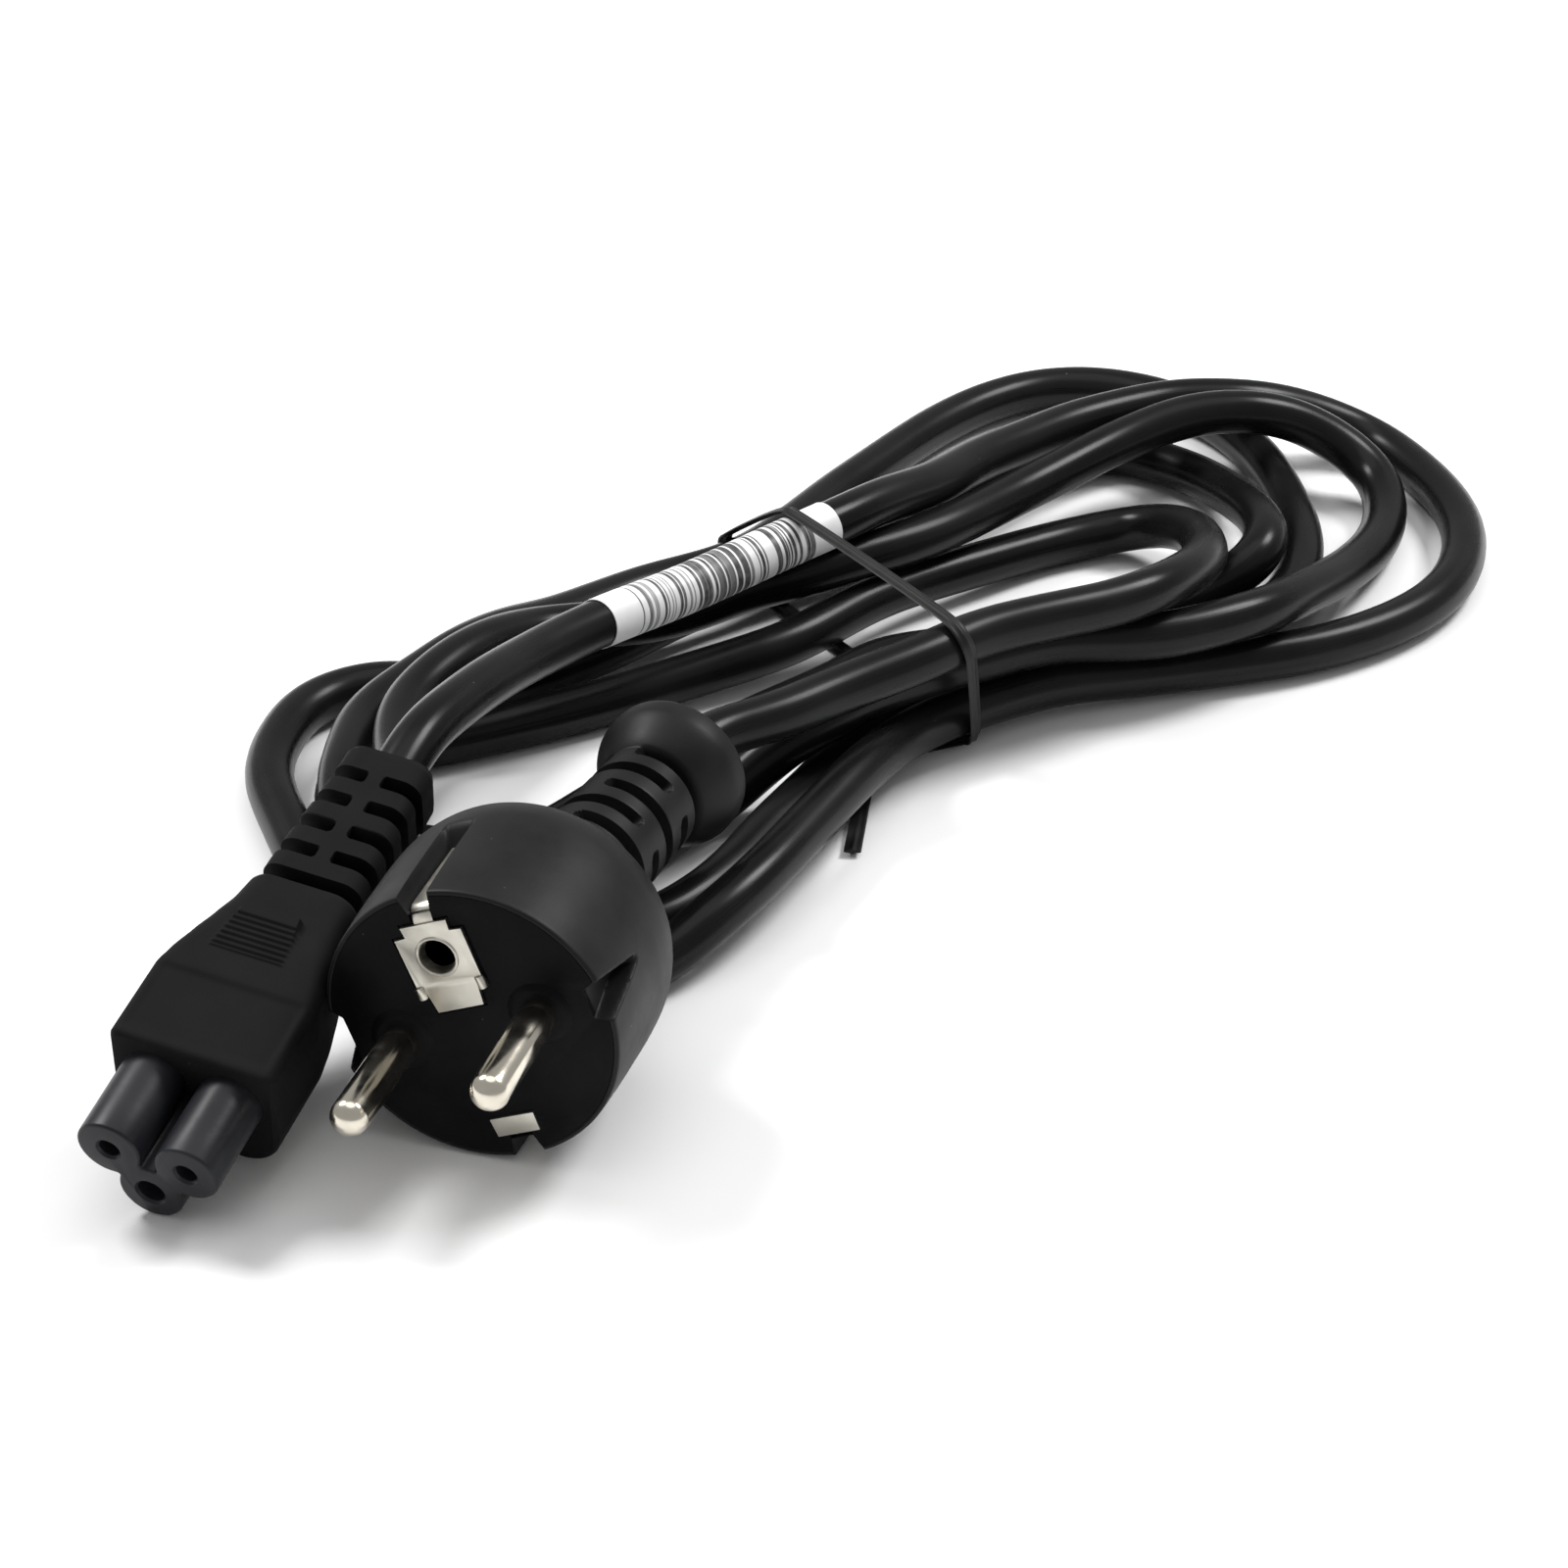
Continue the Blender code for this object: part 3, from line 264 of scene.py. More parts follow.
def smooth_line(points, step):
    """Points about one step apart along a centripetal curve through the given points."""
    points = [np.array(point, float) for point in points]
    line = [2 * points[0] - points[1]] + points + [2 * points[-1] - points[-2]]
    dense = []
    for p0, p1, p2, p3 in zip(line, line[1:], line[2:], line[3:]):
        t1 = sqrt(np.linalg.norm(p1 - p0))
        t2 = t1 + sqrt(np.linalg.norm(p2 - p1))
        t3 = t2 + sqrt(np.linalg.norm(p3 - p2))
        count = max(1, int(round(np.linalg.norm(p2 - p1) / step)))
        for k in range(count):
            t = t1 + (t2 - t1) * k / count
            a1 = p0 + (p1 - p0) * t / t1
            a2 = p1 + (p2 - p1) * (t - t1) / (t2 - t1)
            a3 = p2 + (p3 - p2) * (t - t2) / (t3 - t2)
            b1 = a1 + (a2 - a1) * t / t2
            b2 = a2 + (a3 - a2) * (t - t1) / (t3 - t1)
            dense.append(b1 + (b2 - b1) * (t - t1) / (t2 - t1))
    dense.append(points[-1])
    return np.array(dense)


def distances(points):
    """How far along a line each of its points lies."""
    return np.concatenate(([0.0], np.cumsum(np.linalg.norm(np.diff(points, axis=0), axis=1))))


def stretch(points, start, length):
    """The part of a line of points that begins start along it and is length long."""
    along = distances(points)
    inner = along[(along > start) & (along < start + length)]
    spots = np.concatenate(([start], inner, [start + length]))
    return np.stack([np.interp(spots, along, points[:, k]) for k in range(3)], axis=1)


def finished(name, bm, mat, smooth_under=40.0):
    """The piece from its bmesh, smooth except at edges sharper than the angle given in degrees."""
    bmesh.ops.recalc_face_normals(bm, faces=bm.faces)
    mesh = bpy.data.meshes.new(name)
    bm.to_mesh(mesh)
    bm.free()
    mesh.materials.append(mat)
    mesh.polygons.foreach_set("use_smooth", [True] * len(mesh.polygons))
    mesh.set_sharp_from_angle(angle=radians(smooth_under))
    piece = bpy.data.objects.new(name, mesh)
    bpy.context.scene.collection.objects.link(piece)
    return piece


def skinned(rings, uvs=None):
    """A bmesh skin through rings of as many points each, in metres, closed flat at both ends."""
    bm = bmesh.new()
    rows = [[bm.verts.new(point) for point in ring] for ring in rings]
    count = len(rows[0])
    layer = bm.loops.layers.uv.new("UVMap") if uvs is not None else None
    for j, (row, following) in enumerate(zip(rows, rows[1:])):
        for i in range(count):
            k = (i + 1) % count
            face = bm.faces.new((row[i], row[k], following[k], following[i]))
            if layer is not None:
                low, high = uvs[j], uvs[j + 1]
                for loop, spot in zip(face.loops, ((i, low), (i + 1, low), (i + 1, high), (i, high))):
                    loop[layer].uv = (spot[0] / count, spot[1])
    bm.faces.new(rows[0])
    bm.faces.new(list(reversed(rows[-1])))
    return bm


def travelling_frames(points, first_side):
    """Two directions square to a line at each of its points, which turn no more than the line does."""
    headings = np.gradient(points, axis=0)
    headings /= np.linalg.norm(headings, axis=1)[:, None]
    side = np.array(first_side, float)
    sides = []
    for heading in headings:
        side = side - heading * side.dot(heading)
        side /= np.linalg.norm(side)
        sides.append(side)
    sides = np.array(sides)
    return sides, np.cross(headings, sides)


def swept(points, section, first_side):
    """A section of (side, up) offsets carried along a line."""
    sides, ups = travelling_frames(points, first_side)
    rings = [(point + section[:, :1] * side + section[:, 1:] * up) * MM
             for point, side, up in zip(points, sides, ups)]
    return skinned(rings, uvs=distances(points) * MM)


def circle(radius, sides):
    angles = np.arange(sides) * 2 * pi / sides
    return np.stack([radius * np.cos(angles), radius * np.sin(angles)], axis=1)


def placed(place, x, y, depth):
    """A point of an end piece's frame in metres in the row frame."""
    return place @ Vector((x * MM, y * MM, -depth * MM))


def turned(profile, place, centre, sides=64):
    """A solid turned about a line along the depth, from (radius, depth) points that start and end on it."""
    bm = bmesh.new()
    rings = []
    for radius, depth in profile:
        spots = [(0.0, 0.0)] if radius == 0.0 else circle(radius, sides)
        rings.append([bm.verts.new(placed(place, centre[0] + x, centre[1] + y, depth)) for x, y in spots])
    for ring, following in zip(rings, rings[1:]):
        for i in range(sides):
            k = (i + 1) % sides
            corners = [ring[i % len(ring)], ring[k % len(ring)], following[k % len(following)],
                       following[i % len(following)]]
            bm.faces.new(list(dict.fromkeys(corners)))
    return bm


def extruded(outline, near, far, place):
    """A flat plate with the given outline between two depths."""
    return skinned([[placed(place, x, y, depth) for x, y in outline] for depth in (near, far)])


def carved(piece, solids, operation, bevel=0.0, smooth_under=40.0):
    """The piece after Booleans with other solids, each a bmesh, and a small round on its sharp edges."""
    helpers = []
    for number, bm in enumerate(solids):
        bmesh.ops.recalc_face_normals(bm, faces=bm.faces)
        mesh = bpy.data.meshes.new(f"{piece.name}_helper_{number}")
        bm.to_mesh(mesh)
        bm.free()
        helper = bpy.data.objects.new(mesh.name, mesh)
        bpy.context.scene.collection.objects.link(helper)
        step = piece.modifiers.new(f"step_{number}", "BOOLEAN")
        step.operation = operation
        step.solver = "EXACT"
        step.object = helper
        helpers.append(helper)
    if bevel:
        edge = piece.modifiers.new("edges", "BEVEL")
        edge.width = bevel * MM
        edge.segments = 2
        edge.limit_method = "ANGLE"
        edge.angle_limit = radians(35)
    bpy.context.view_layer.update()
    mesh = bpy.data.meshes.new_from_object(piece.evaluated_get(bpy.context.evaluated_depsgraph_get()))
    piece.modifiers.clear()
    piece.data = mesh
    mesh.polygons.foreach_set("use_smooth", [True] * len(mesh.polygons))
    mesh.set_sharp_from_angle(angle=radians(smooth_under))
    for helper in helpers:
        bpy.data.objects.remove(helper, do_unlink=True)
    return piece


# Materials

class Nodes:
    """A new material's node tree, with its Principled shader, and a short way to add and join nodes."""

    def __init__(self, name, colour, roughness, metallic=0.0, specular=0.5):
        self.material = bpy.data.materials.new(name)
        self.material.use_nodes = True
        self.tree = self.material.node_tree
        self.shader = self.tree.nodes["Principled BSDF"]
        self.shader.inputs["Base Color"].default_value = (*colour, 1.0)
        self.shader.inputs["Roughness"].default_value = roughness
        self.shader.inputs["Metallic"].default_value = metallic
        self.shader.inputs["Specular IOR Level"].default_value = specular
        self.coordinates = self.tree.nodes.new("ShaderNodeTexCoord")

    def join(self, source, target):
        self.tree.links.new(source, target)

    def set(self, socket, value):
        if isinstance(value, bpy.types.NodeSocket):
            self.join(value, socket)
        else:
            socket.default_value = value

    def stretched(self, scale, output="Object"):
        node = self.tree.nodes.new("ShaderNodeMapping")
        node.inputs["Scale"].default_value = scale
        self.join(self.coordinates.outputs[output], node.inputs["Vector"])
        return node.outputs["Vector"]

    def noise(self, scale, detail=2.0, vector=None, rough=0.5):
        node = self.tree.nodes.new("ShaderNodeTexNoise")
        node.inputs["Scale"].default_value = scale
        node.inputs["Detail"].default_value = detail
        node.inputs["Roughness"].default_value = rough
        self.join(self.coordinates.outputs["Object"] if vector is None else vector, node.inputs["Vector"])
        return node.outputs["Fac"]

    def ranged(self, value, low, high, to_low, to_high):
        node = self.tree.nodes.new("ShaderNodeMapRange")
        self.set(node.inputs["Value"], value)
        for socket, number in zip(("From Min", "From Max", "To Min", "To Max"), (low, high, to_low, to_high)):
            node.inputs[socket].default_value = number
        return node.outputs["Result"]

    def math(self, operation, first, second=0.0):
        node = self.tree.nodes.new("ShaderNodeMath")
        node.operation = operation
        self.set(node.inputs[0], first)
        self.set(node.inputs[1], second)
        return node.outputs["Value"]

    def mixed(self, factor, first, second):
        node = self.tree.nodes.new("ShaderNodeMix")
        node.data_type = "RGBA"
        self.set(node.inputs["Factor"], factor)
        self.set(node.inputs["A"], first if isinstance(first, bpy.types.NodeSocket) else (*first, 1.0))
        self.set(node.inputs["B"], second if isinstance(second, bpy.types.NodeSocket) else (*second, 1.0))
        return node.outputs["Result"]

    def specks(self, per_metre, size):
        """1 in sparse round specks, size as a share of the distance between them."""
        node = self.tree.nodes.new("ShaderNodeTexVoronoi")
        node.inputs["Scale"].default_value = per_metre
        self.join(self.coordinates.outputs["Object"], node.inputs["Vector"])
        return self.math("LESS_THAN", node.outputs["Distance"], size)

    def bump(self, height, distance, strength=1.0, after=None):
        node = self.tree.nodes.new("ShaderNodeBump")
        node.inputs["Distance"].default_value = distance * MM
        node.inputs["Strength"].default_value = strength
        self.join(height, node.inputs["Height"])
        if after is not None:
            self.join(after, node.inputs["Normal"])
        return node.outputs["Normal"]


def moulded(name, colour, roughness, grain, specular, specks=0.035):
    """Moulded plastic with a fine grain from the tool, faint smudges and a few specks of dust."""
    n = Nodes(name, colour, roughness, specular=specular)
    smudge = n.noise(140.0, 3.0)
    fine = n.noise(5200.0, 2.0)
    pale = tuple(min(1.0, c * 1.45 + 0.002) for c in colour)
    base = n.mixed(n.ranged(smudge, 0.35, 0.7, 0.0, 1.0), colour, pale)
    dust = n.math("MULTIPLY", n.specks(330.0, specks), n.ranged(n.noise(60.0), 0.5, 0.62, 0.0, 0.8))
    n.join(n.mixed(dust, base, (0.16, 0.155, 0.15)), n.shader.inputs["Base Color"])
    n.join(n.ranged(smudge, 0.3, 0.75, roughness - 0.07, roughness + 0.08), n.shader.inputs["Roughness"])
    wide = n.bump(n.noise(420.0, 2.0), 0.05, 0.5)
    n.join(n.bump(fine, grain, 0.6, after=wide), n.shader.inputs["Normal"])
    return n.material


def cord_jacket():
    """Extruded PVC: satin, with faint lengthwise drag lines and a shallow unevenness along the cord."""
    n = Nodes("cord_jacket_pvc", (0.006, 0.006, 0.0063), 0.3, specular=0.15)
    drag = n.noise(1.0, 3.0, n.stretched((46.0, 34.0, 1.0), "UV"))
    patches = n.noise(55.0, 3.0)
    fine = n.noise(4200.0, 2.0)
    base = n.mixed(n.ranged(patches, 0.35, 0.7, 0.0, 1.0), (0.0045, 0.0045, 0.005), (0.009, 0.009, 0.0093))
    dust = n.math("MULTIPLY", n.specks(260.0, 0.03), n.ranged(n.noise(35.0), 0.52, 0.62, 0.0, 0.7))
    n.join(n.mixed(dust, base, (0.15, 0.15, 0.15)), n.shader.inputs["Base Color"])
    n.join(n.ranged(n.math("ADD", patches, n.math("MULTIPLY", drag, 0.6)), 0.5, 1.1, 0.23, 0.33),
           n.shader.inputs["Roughness"])
    wide = n.bump(drag, 0.03, 0.45)
    n.join(n.bump(fine, 0.006, 0.5, after=wide), n.shader.inputs["Normal"])
    return n.material


def plated(name, colour, roughness):
    """Plated metal with faint draw lines and handling haze."""
    n = Nodes(name, colour, roughness, metallic=1.0)
    lines = n.noise(1.0, 2.0, n.stretched((5200.0, 260.0, 5200.0)))
    haze = n.noise(260.0, 3.0)
    n.join(n.ranged(haze, 0.35, 0.7, roughness - 0.04, roughness + 0.09), n.shader.inputs["Roughness"])
    n.join(n.mixed(n.ranged(haze, 0.3, 0.75, 0.0, 1.0), colour, tuple(c * 0.86 for c in colour)),
           n.shader.inputs["Base Color"])
    n.join(n.bump(lines, 0.004, 0.35), n.shader.inputs["Normal"])
    return n.material


def barred_paper():
    """White coated paper printed with plain bars of many widths that stand for nothing."""
    n = Nodes("label_paper", (0.84, 0.84, 0.85), 0.5, specular=0.4)
    split = n.tree.nodes.new("ShaderNodeSeparateXYZ")
    n.join(n.coordinates.outputs["UV"], split.inputs["Vector"])
    along = split.outputs["Y"]

    def chance(module, seed):
        node = n.tree.nodes.new("ShaderNodeTexWhiteNoise")
        node.noise_dimensions = "1D"
        n.join(n.math("ADD", n.math("FLOOR", n.math("DIVIDE", along, module * MM)), seed), node.inputs["W"])
        return node.outputs["Value"]

    depth = n.ranged(chance(0.54, 8.0), 0.0, 1.0, 0.8, 1.0)
    thin = n.math("MULTIPLY", n.math("GREATER_THAN", chance(0.27, 3.0), 0.5), depth)
    thick = n.math("GREATER_THAN", chance(0.48, 21.0), 0.74)
    pale = n.ranged(n.math("GREATER_THAN", chance(1.3, 57.0), 0.12), 0.0, 1.0, 0.7, 1.0)
    bars = n.math("MULTIPLY", n.math("MAXIMUM", thin, thick), pale)
    inside = n.math("MULTIPLY", n.math("GREATER_THAN", along, LABEL_MARGIN * MM),
                    n.math("LESS_THAN", along, (LABEL_LENGTH - LABEL_MARGIN) * MM))
    worn = n.ranged(n.noise(900.0, 2.0), 0.2, 0.8, 0.85, 1.0)
    ink = n.math("MULTIPLY", n.math("MULTIPLY", bars, inside), worn)
    paper = n.mixed(n.ranged(n.noise(220.0, 3.0), 0.3, 0.7, 0.0, 1.0), (0.86, 0.86, 0.87), (0.79, 0.79, 0.79))
    n.join(n.mixed(ink, paper, (0.006, 0.006, 0.006)), n.shader.inputs["Base Color"])
    n.join(n.ranged(n.noise(300.0), 0.3, 0.7, 0.42, 0.58), n.shader.inputs["Roughness"])
    n.join(n.bump(n.noise(2600.0, 3.0), 0.008, 0.5), n.shader.inputs["Normal"])
    return n.material


def tie_plastic():
    """Thin extruded plastic, a little worn, in lighter patches spread at random."""
    n = Nodes("tie_ribbon_plastic", (0.009, 0.009, 0.0088), 0.46, specular=0.22)
    grain = n.noise(1.0, 2.0, n.stretched((30.0, 240.0, 1.0), "UV"))
    wear = n.noise(300.0, 3.0)
    n.join(n.mixed(n.ranged(wear, 0.4, 0.75, 0.0, 1.0), (0.008, 0.0078, 0.0075), (0.018, 0.0175, 0.0165)),
           n.shader.inputs["Base Color"])
    n.join(n.ranged(wear, 0.3, 0.7, 0.4, 0.55), n.shader.inputs["Roughness"])
    n.join(n.bump(grain, 0.03, 0.4), n.shader.inputs["Normal"])
    return n.material


def floor_paper():
    return Nodes("studio_floor", (0.96, 0.96, 0.96), 0.9, specular=0.1).material


# Camera, light and floor

def camera():
    data = bpy.data.cameras.new("camera")
    data.lens = CAMERA_LENS
    data.sensor_width = SENSOR_WIDTH
    data.clip_start = 0.01
    data.clip_end = 20.0
    thing = bpy.data.objects.new("camera", data)
    bpy.context.scene.collection.objects.link(thing)
    thing.location = Vector(CAMERA_AT) * MM
    heading = Vector(CAMERA_AIM) - Vector(CAMERA_AT)
    thing.rotation_euler = heading.to_track_quat("-Z", "Y").to_euler()
    bpy.context.scene.camera = thing


def lamp(name, place, power, size):
    """A round soft box that looks where the camera does."""
    data = bpy.data.lights.new(name, "AREA")
    data.shape = "DISK"
    data.size = size
    data.energy = power
    thing = bpy.data.objects.new(name, data)
    bpy.context.scene.collection.objects.link(thing)
    thing.location = Vector(place) * MM
    thing.rotation_euler = (Vector(CAMERA_AIM) - Vector(place)).to_track_quat("-Z", "Y").to_euler()


def studio():
    for name, (place, power, size) in SOFT_BOXES.items():
        lamp(name, place, power, size)
    world = bpy.data.worlds.new("studio")
    world.use_nodes = True
    background = world.node_tree.nodes["Background"]
    background.inputs["Color"].default_value = (1.0, 1.0, 1.0, 1.0)
    background.inputs["Strength"].default_value = WORLD_LIGHT
    bpy.context.scene.world = world
    bpy.context.scene.view_settings.view_transform = "Standard"

    bm = bmesh.new()
    bmesh.ops.create_circle(bm, cap_ends=True, segments=96, radius=FLOOR_R * MM)
    mesh = bpy.data.meshes.new("floor")
    bm.to_mesh(mesh)
    bm.free()
    mesh.materials.append(floor_paper())
    thing = bpy.data.objects.new("floor", mesh)
    bpy.context.scene.collection.objects.link(thing)
    thing.location = (0.0, 0.0, -FLOOR_DROP * MM)


# Cord, label and tie

def eased_line(line):
    """The line without its short wobbles, its ends kept where they are."""
    reach = int(3 * CORD_EASE / CORD_STEP)
    weights = np.exp(-0.5 * (np.arange(-reach, reach + 1) * CORD_STEP / CORD_EASE) ** 2)
    weights /= weights.sum()

    def once(points):
        before = 2 * points[0] - points[reach:0:-1]
        after = 2 * points[-1] - points[-2:-reach - 2:-1]
        longer = np.concatenate((before, points, after))
        return np.stack([np.convolve(longer[:, k], weights, "valid") for k in range(3)], axis=1)

    soft = once(line)
    return 2 * soft - once(soft)


def cord_line():
    """The cord's centreline with its buried ends, and without them."""
    line = eased_line(smooth_line(ROUTE, CORD_STEP))
    line[:, 2] = np.maximum(line[:, 2], CORD_R + CORD_LIFT)
    first = line[0] - line[1]
    last = line[-1] - line[-2]
    start = line[0] + first / np.linalg.norm(first) * np.array([[CORD_BURIED], [CORD_BURIED / 2]])
    end = line[-1] + last / np.linalg.norm(last) * np.array([[CORD_BURIED / 2], [CORD_BURIED]])
    return np.concatenate((start, line, end)), line


def wrapped_section():
    """The label's paper in section: rolled once round, with its outer edge lying over its inner one."""
    turns = np.linspace(0.0, radians(LABEL_TURN), 56)
    angles = turns + radians(LABEL_EDGE)
    grown = LABEL_R + (LABEL_WALL + LAP_GAP) * step_up(turns, *map(radians, LABEL_CLIMB))
    outer = np.stack([(grown + LABEL_WALL) * np.cos(angles), (grown + LABEL_WALL) * np.sin(angles)], axis=1)
    inner = np.stack([grown * np.cos(angles), grown * np.sin(angles)], axis=1)
    return np.concatenate((outer, inner[::-1]))


def hull_of(points):
    """The corners of the smallest convex outline round the points, anticlockwise."""
    ordered = sorted(set(points))
    halves = []
    for run in (ordered, list(reversed(ordered))):
        half = []
        for point in run:
            while len(half) > 1 and ((half[-1][0] - half[-2][0]) * (point[1] - half[-2][1])
                                     <= (half[-1][1] - half[-2][1]) * (point[0] - half[-2][0])):
                half.pop()
            half.append(point)
        halves.append(half[:-1])
    return halves[0] + halves[1]


def tie_line(line):
    """The tie's tail on the floor and its taut loop round every strand that crosses its plane."""
    start = np.array([*TIE_FROM, 0.0])
    along = np.array([*TIE_TO, 0.0]) - start
    reach = np.linalg.norm(along)
    along /= reach
    across = np.array([-along[1], along[0], 0.0])
    grown = CORD_R + TIE_CLEAR + TIE_RIDGE / 2
    rim = []
    for first, second in zip(line, line[1:]):
        before, after = (first - start).dot(across), (second - start).dot(across)
        if before * after > 0 or before == after:
            continue
        crossing = first + (second - first) * before / (before - after)
        place = (crossing - start).dot(along)
        if not TIE_REACH[0] < place < reach + TIE_REACH[1]:
            continue
        slant = abs((second - first).dot(across)) / np.linalg.norm(second - first)
        for angle in np.arange(0, 2 * pi, pi / 18):
            height = max(crossing[2] + grown * sin(angle), TIE_RIDGE / 2 + 0.1)
            rim.append((round(place + grown / slant * cos(angle), 3), round(height, 3)))
    hull = hull_of(rim)
    loop = [start + along * place + across * TIE_LEAN * (height - TIE_LEVEL) + np.array([0.0, 0.0, height])
            for place, height in hull]
    lowest = min(height for _, height in hull)
    knot = max((i for i, (_, height) in enumerate(hull) if height < lowest + 0.4), key=lambda i: hull[i][0])
    loop = loop[knot:] + loop[:knot]
    kept = [loop[0]]
    for point in loop[1:] + [loop[0]]:
        if np.linalg.norm(point - kept[-1]) > TIE_STEP:
            kept.append(point)
    closed = kept[:-1]
    tail = [np.array(point, float) for point in TIE_TAIL]
    return smooth_line(tail + closed, TIE_STEP), across


def ribbon_section():
    """The tie in section: thin edges, and a ridge over the wire above and below."""
    spots = np.linspace(-1.0, 1.0, 17)
    ridge = np.exp(-(spots / 0.3) ** 2)
    half = TIE_EDGE / 2 * np.sqrt(np.clip(1 - spots ** 8, 0.0, 1.0)) + (TIE_RIDGE - TIE_EDGE) / 2 * ridge
    upper = np.stack([spots * TIE_WIDTH / 2, half], axis=1)
    lower = np.stack([spots * TIE_WIDTH / 2, -half], axis=1)
    return np.concatenate((upper, lower[::-1][1:-1]))


# Plug

def plug_radius(radius, depth, angles):
    """The side's radius at each angle, after its grooves for the socket's earth clips and guide ribs."""
    out = np.full(len(angles), radius)
    x, y = radius * np.cos(angles), radius * np.sin(angles)
    length = GROOVE["length"]
    for across, towards in ((x, y), (x, -y)):
        rows = between(across, -GROOVE["half"], GROOVE["half"], 0.4) * (towards > 0)
        rows = rows * (1 - step_up(depth, length - GROOVE["ramp"], length))
        floor = GROOVE["floor"] / np.maximum(towards / radius, 0.2)
        out = out + rows * (np.minimum(floor, out) - out)
    taper = 1 - GUIDE["taper"] * min(max(depth / GUIDE["length"], 0.0), 1.0)
    for across, towards, (low, high) in ((y, x, GUIDE["right"]), (y, -x, GUIDE["left"])):
        middle = (low + high) / 2
        reach = (high - low) / 2 * taper
        rows = between(across, middle - reach, middle + reach, 0.6) * (towards > 0)
        rows = rows * (1 - step_up(depth, GUIDE["length"] - 0.6, GUIDE["length"] + 0.4))
        floor = GUIDE["floor"] / np.maximum(towards / radius, 0.2)
        out = out + rows * (np.minimum(floor, out) - out)
    return out


def relief_cut(depth, angles):
    """How deep the strain relief's round-ended slots cut at each angle."""
    cut = np.zeros(len(angles))
    for row, middle in enumerate(SLOT_DEPTHS):
        off = abs(depth - middle)
        if off > 2 * SLOT_HALF:
            continue
        for turn in (0.0, 180.0):
            centre = radians(SLOT_MIDDLES[(row + 1) % 2] + turn)
            away = np.abs((angles - centre + pi) % (2 * pi) - pi)
            beyond = np.maximum(away - radians(SLOT_SPAN) + SLOT_HALF / SLOT_R, 0.0) * SLOT_R
            distance = np.hypot(beyond, off)
            cut = np.maximum(cut, 1 - step_up(distance, SLOT_HALF - SLOT_EDGE, SLOT_HALF + SLOT_EDGE))
    return cut * SLOT_CUT


def plug_angles():
    """Angles round the plug, closer together where its grooves are."""
    grooves = ((0, 11), (90, 8), (180, 11), (270, 8))
    fine = np.concatenate([np.arange(middle - half, middle + half + 0.1, 0.5) for middle, half in grooves])
    coarse = np.arange(0, 360, 2.5)
    spots = np.concatenate((fine % 360, coarse))
    return np.radians(np.unique(np.round(spots, 2)))


def plug_profile():
    """(radius, depth) over the lip and down the side to the relief, and down the relief and the collar."""
    seat, wall = FACE_WALL + FACE_GAP, FACE_R + FACE_GAP
    lip = [(14.0, 9.0), (14.0, seat), (wall, seat), (wall, 0.08), (FACE_R + 0.07, 0.02), (FACE_R + 0.2, 0.0),
           (RIM_R - 0.17, 0.08), (RIM_R - 0.04, 0.28), (RIM_R, 0.6)]
    side = smooth_line([(radius, depth, 0) for radius, depth in SIDE_CURVE], 0.5)
    relief = [(RELIEF_R[0] + (RELIEF_R[1] - RELIEF_R[0]) * t, RELIEF_START + (RELIEF_END - RELIEF_START) * t)
              for t in np.linspace(0.0, 1.0, RELIEF_RINGS)[1:]]
    return [*lip, *((radius, depth) for radius, depth, _ in side[1:])], [*relief, *COLLAR_FLARE, *COLLAR_END]


def bent(radii, depth, angles):
    """A ring of the plug in the row frame, turned with the relief where it lies behind the plug's back."""
    share = float(step_up(depth, RELIEF_ROOT - 3.5, RELIEF_ROOT + 2.5))
    turn = Matrix.Rotation(radians(RELIEF_YAW) * share, 3, "Z")
    roll = radians(PLUG_ROLL)
    beyond = max(depth - RELIEF_ROOT, 0.0)
    centre = Vector(PLUG_AT) + Vector((0.0, min(depth, RELIEF_ROOT), 0.0))
    centre += Matrix.Rotation(radians(RELIEF_YAW), 3, "Z") @ Vector((0.0, beyond, 0.0))
    ring = []
    for radius, angle in zip(radii, angles):
        local = Vector((radius * cos(angle + roll), 0.0, radius * sin(angle + roll)))
        ring.append((centre + turn @ local) * MM)
    return ring


def plug_shell(mat):
    """The plug's overmould with its strain relief and collar, in one skin."""
    angles = plug_angles()
    front, back = plug_profile()
    rings = [bent(plug_radius(radius, depth, angles), depth, angles) for radius, depth in front]
    rings += [bent(radius - relief_cut(depth, angles), depth, angles) for radius, depth in back]
    return finished("plug_shell", skinned(rings), mat, 50.0)


def notched_circle(radius):
    """The face's outline: a circle with the four grooves' ends taken out of it."""
    angles = plug_angles()
    radii = plug_radius(radius, 0.0, angles)
    return [(r * cos(a), r * sin(a)) for r, a in zip(radii, angles)]


def plug_face(mat):
    """The face piece with its pin bosses, the earth hole and the beds of the two plates."""
    face = finished("plug_face", extruded(notched_circle(FACE_R), 0.0, FACE_WALL, PLUG), mat)
    carved(face, [turned(PIN_BOSS, PLUG, (side * PIN_X, 0.0), 56) for side in (-1, 1)], "UNION")
    pocket = [(x * 1.1, (y - 8.6) * 1.06 + 8.6) for x, y in plate_outline()]
    cuts = [extruded(pocket, -1.0, 0.3, PLUG)]
    hole = ((0.0, -1.0), (EARTH_HOLE_R, -1.0), (EARTH_HOLE_R, 3.0), (0.0, 3.0))
    cuts.append(turned(hole, PLUG, (0.0, EARTH_Y)))
    for side in (-1, 1):
        slot = ((-1.5, side * 14.2), (1.5, side * 14.2), (1.5, side * 17.0), (-1.5, side * 17.0))
        cuts.append(extruded(slot, -1.0, 0.66 if side > 0 else 0.5, PLUG))
    return carved(face, cuts, "DIFFERENCE", bevel=0.07)


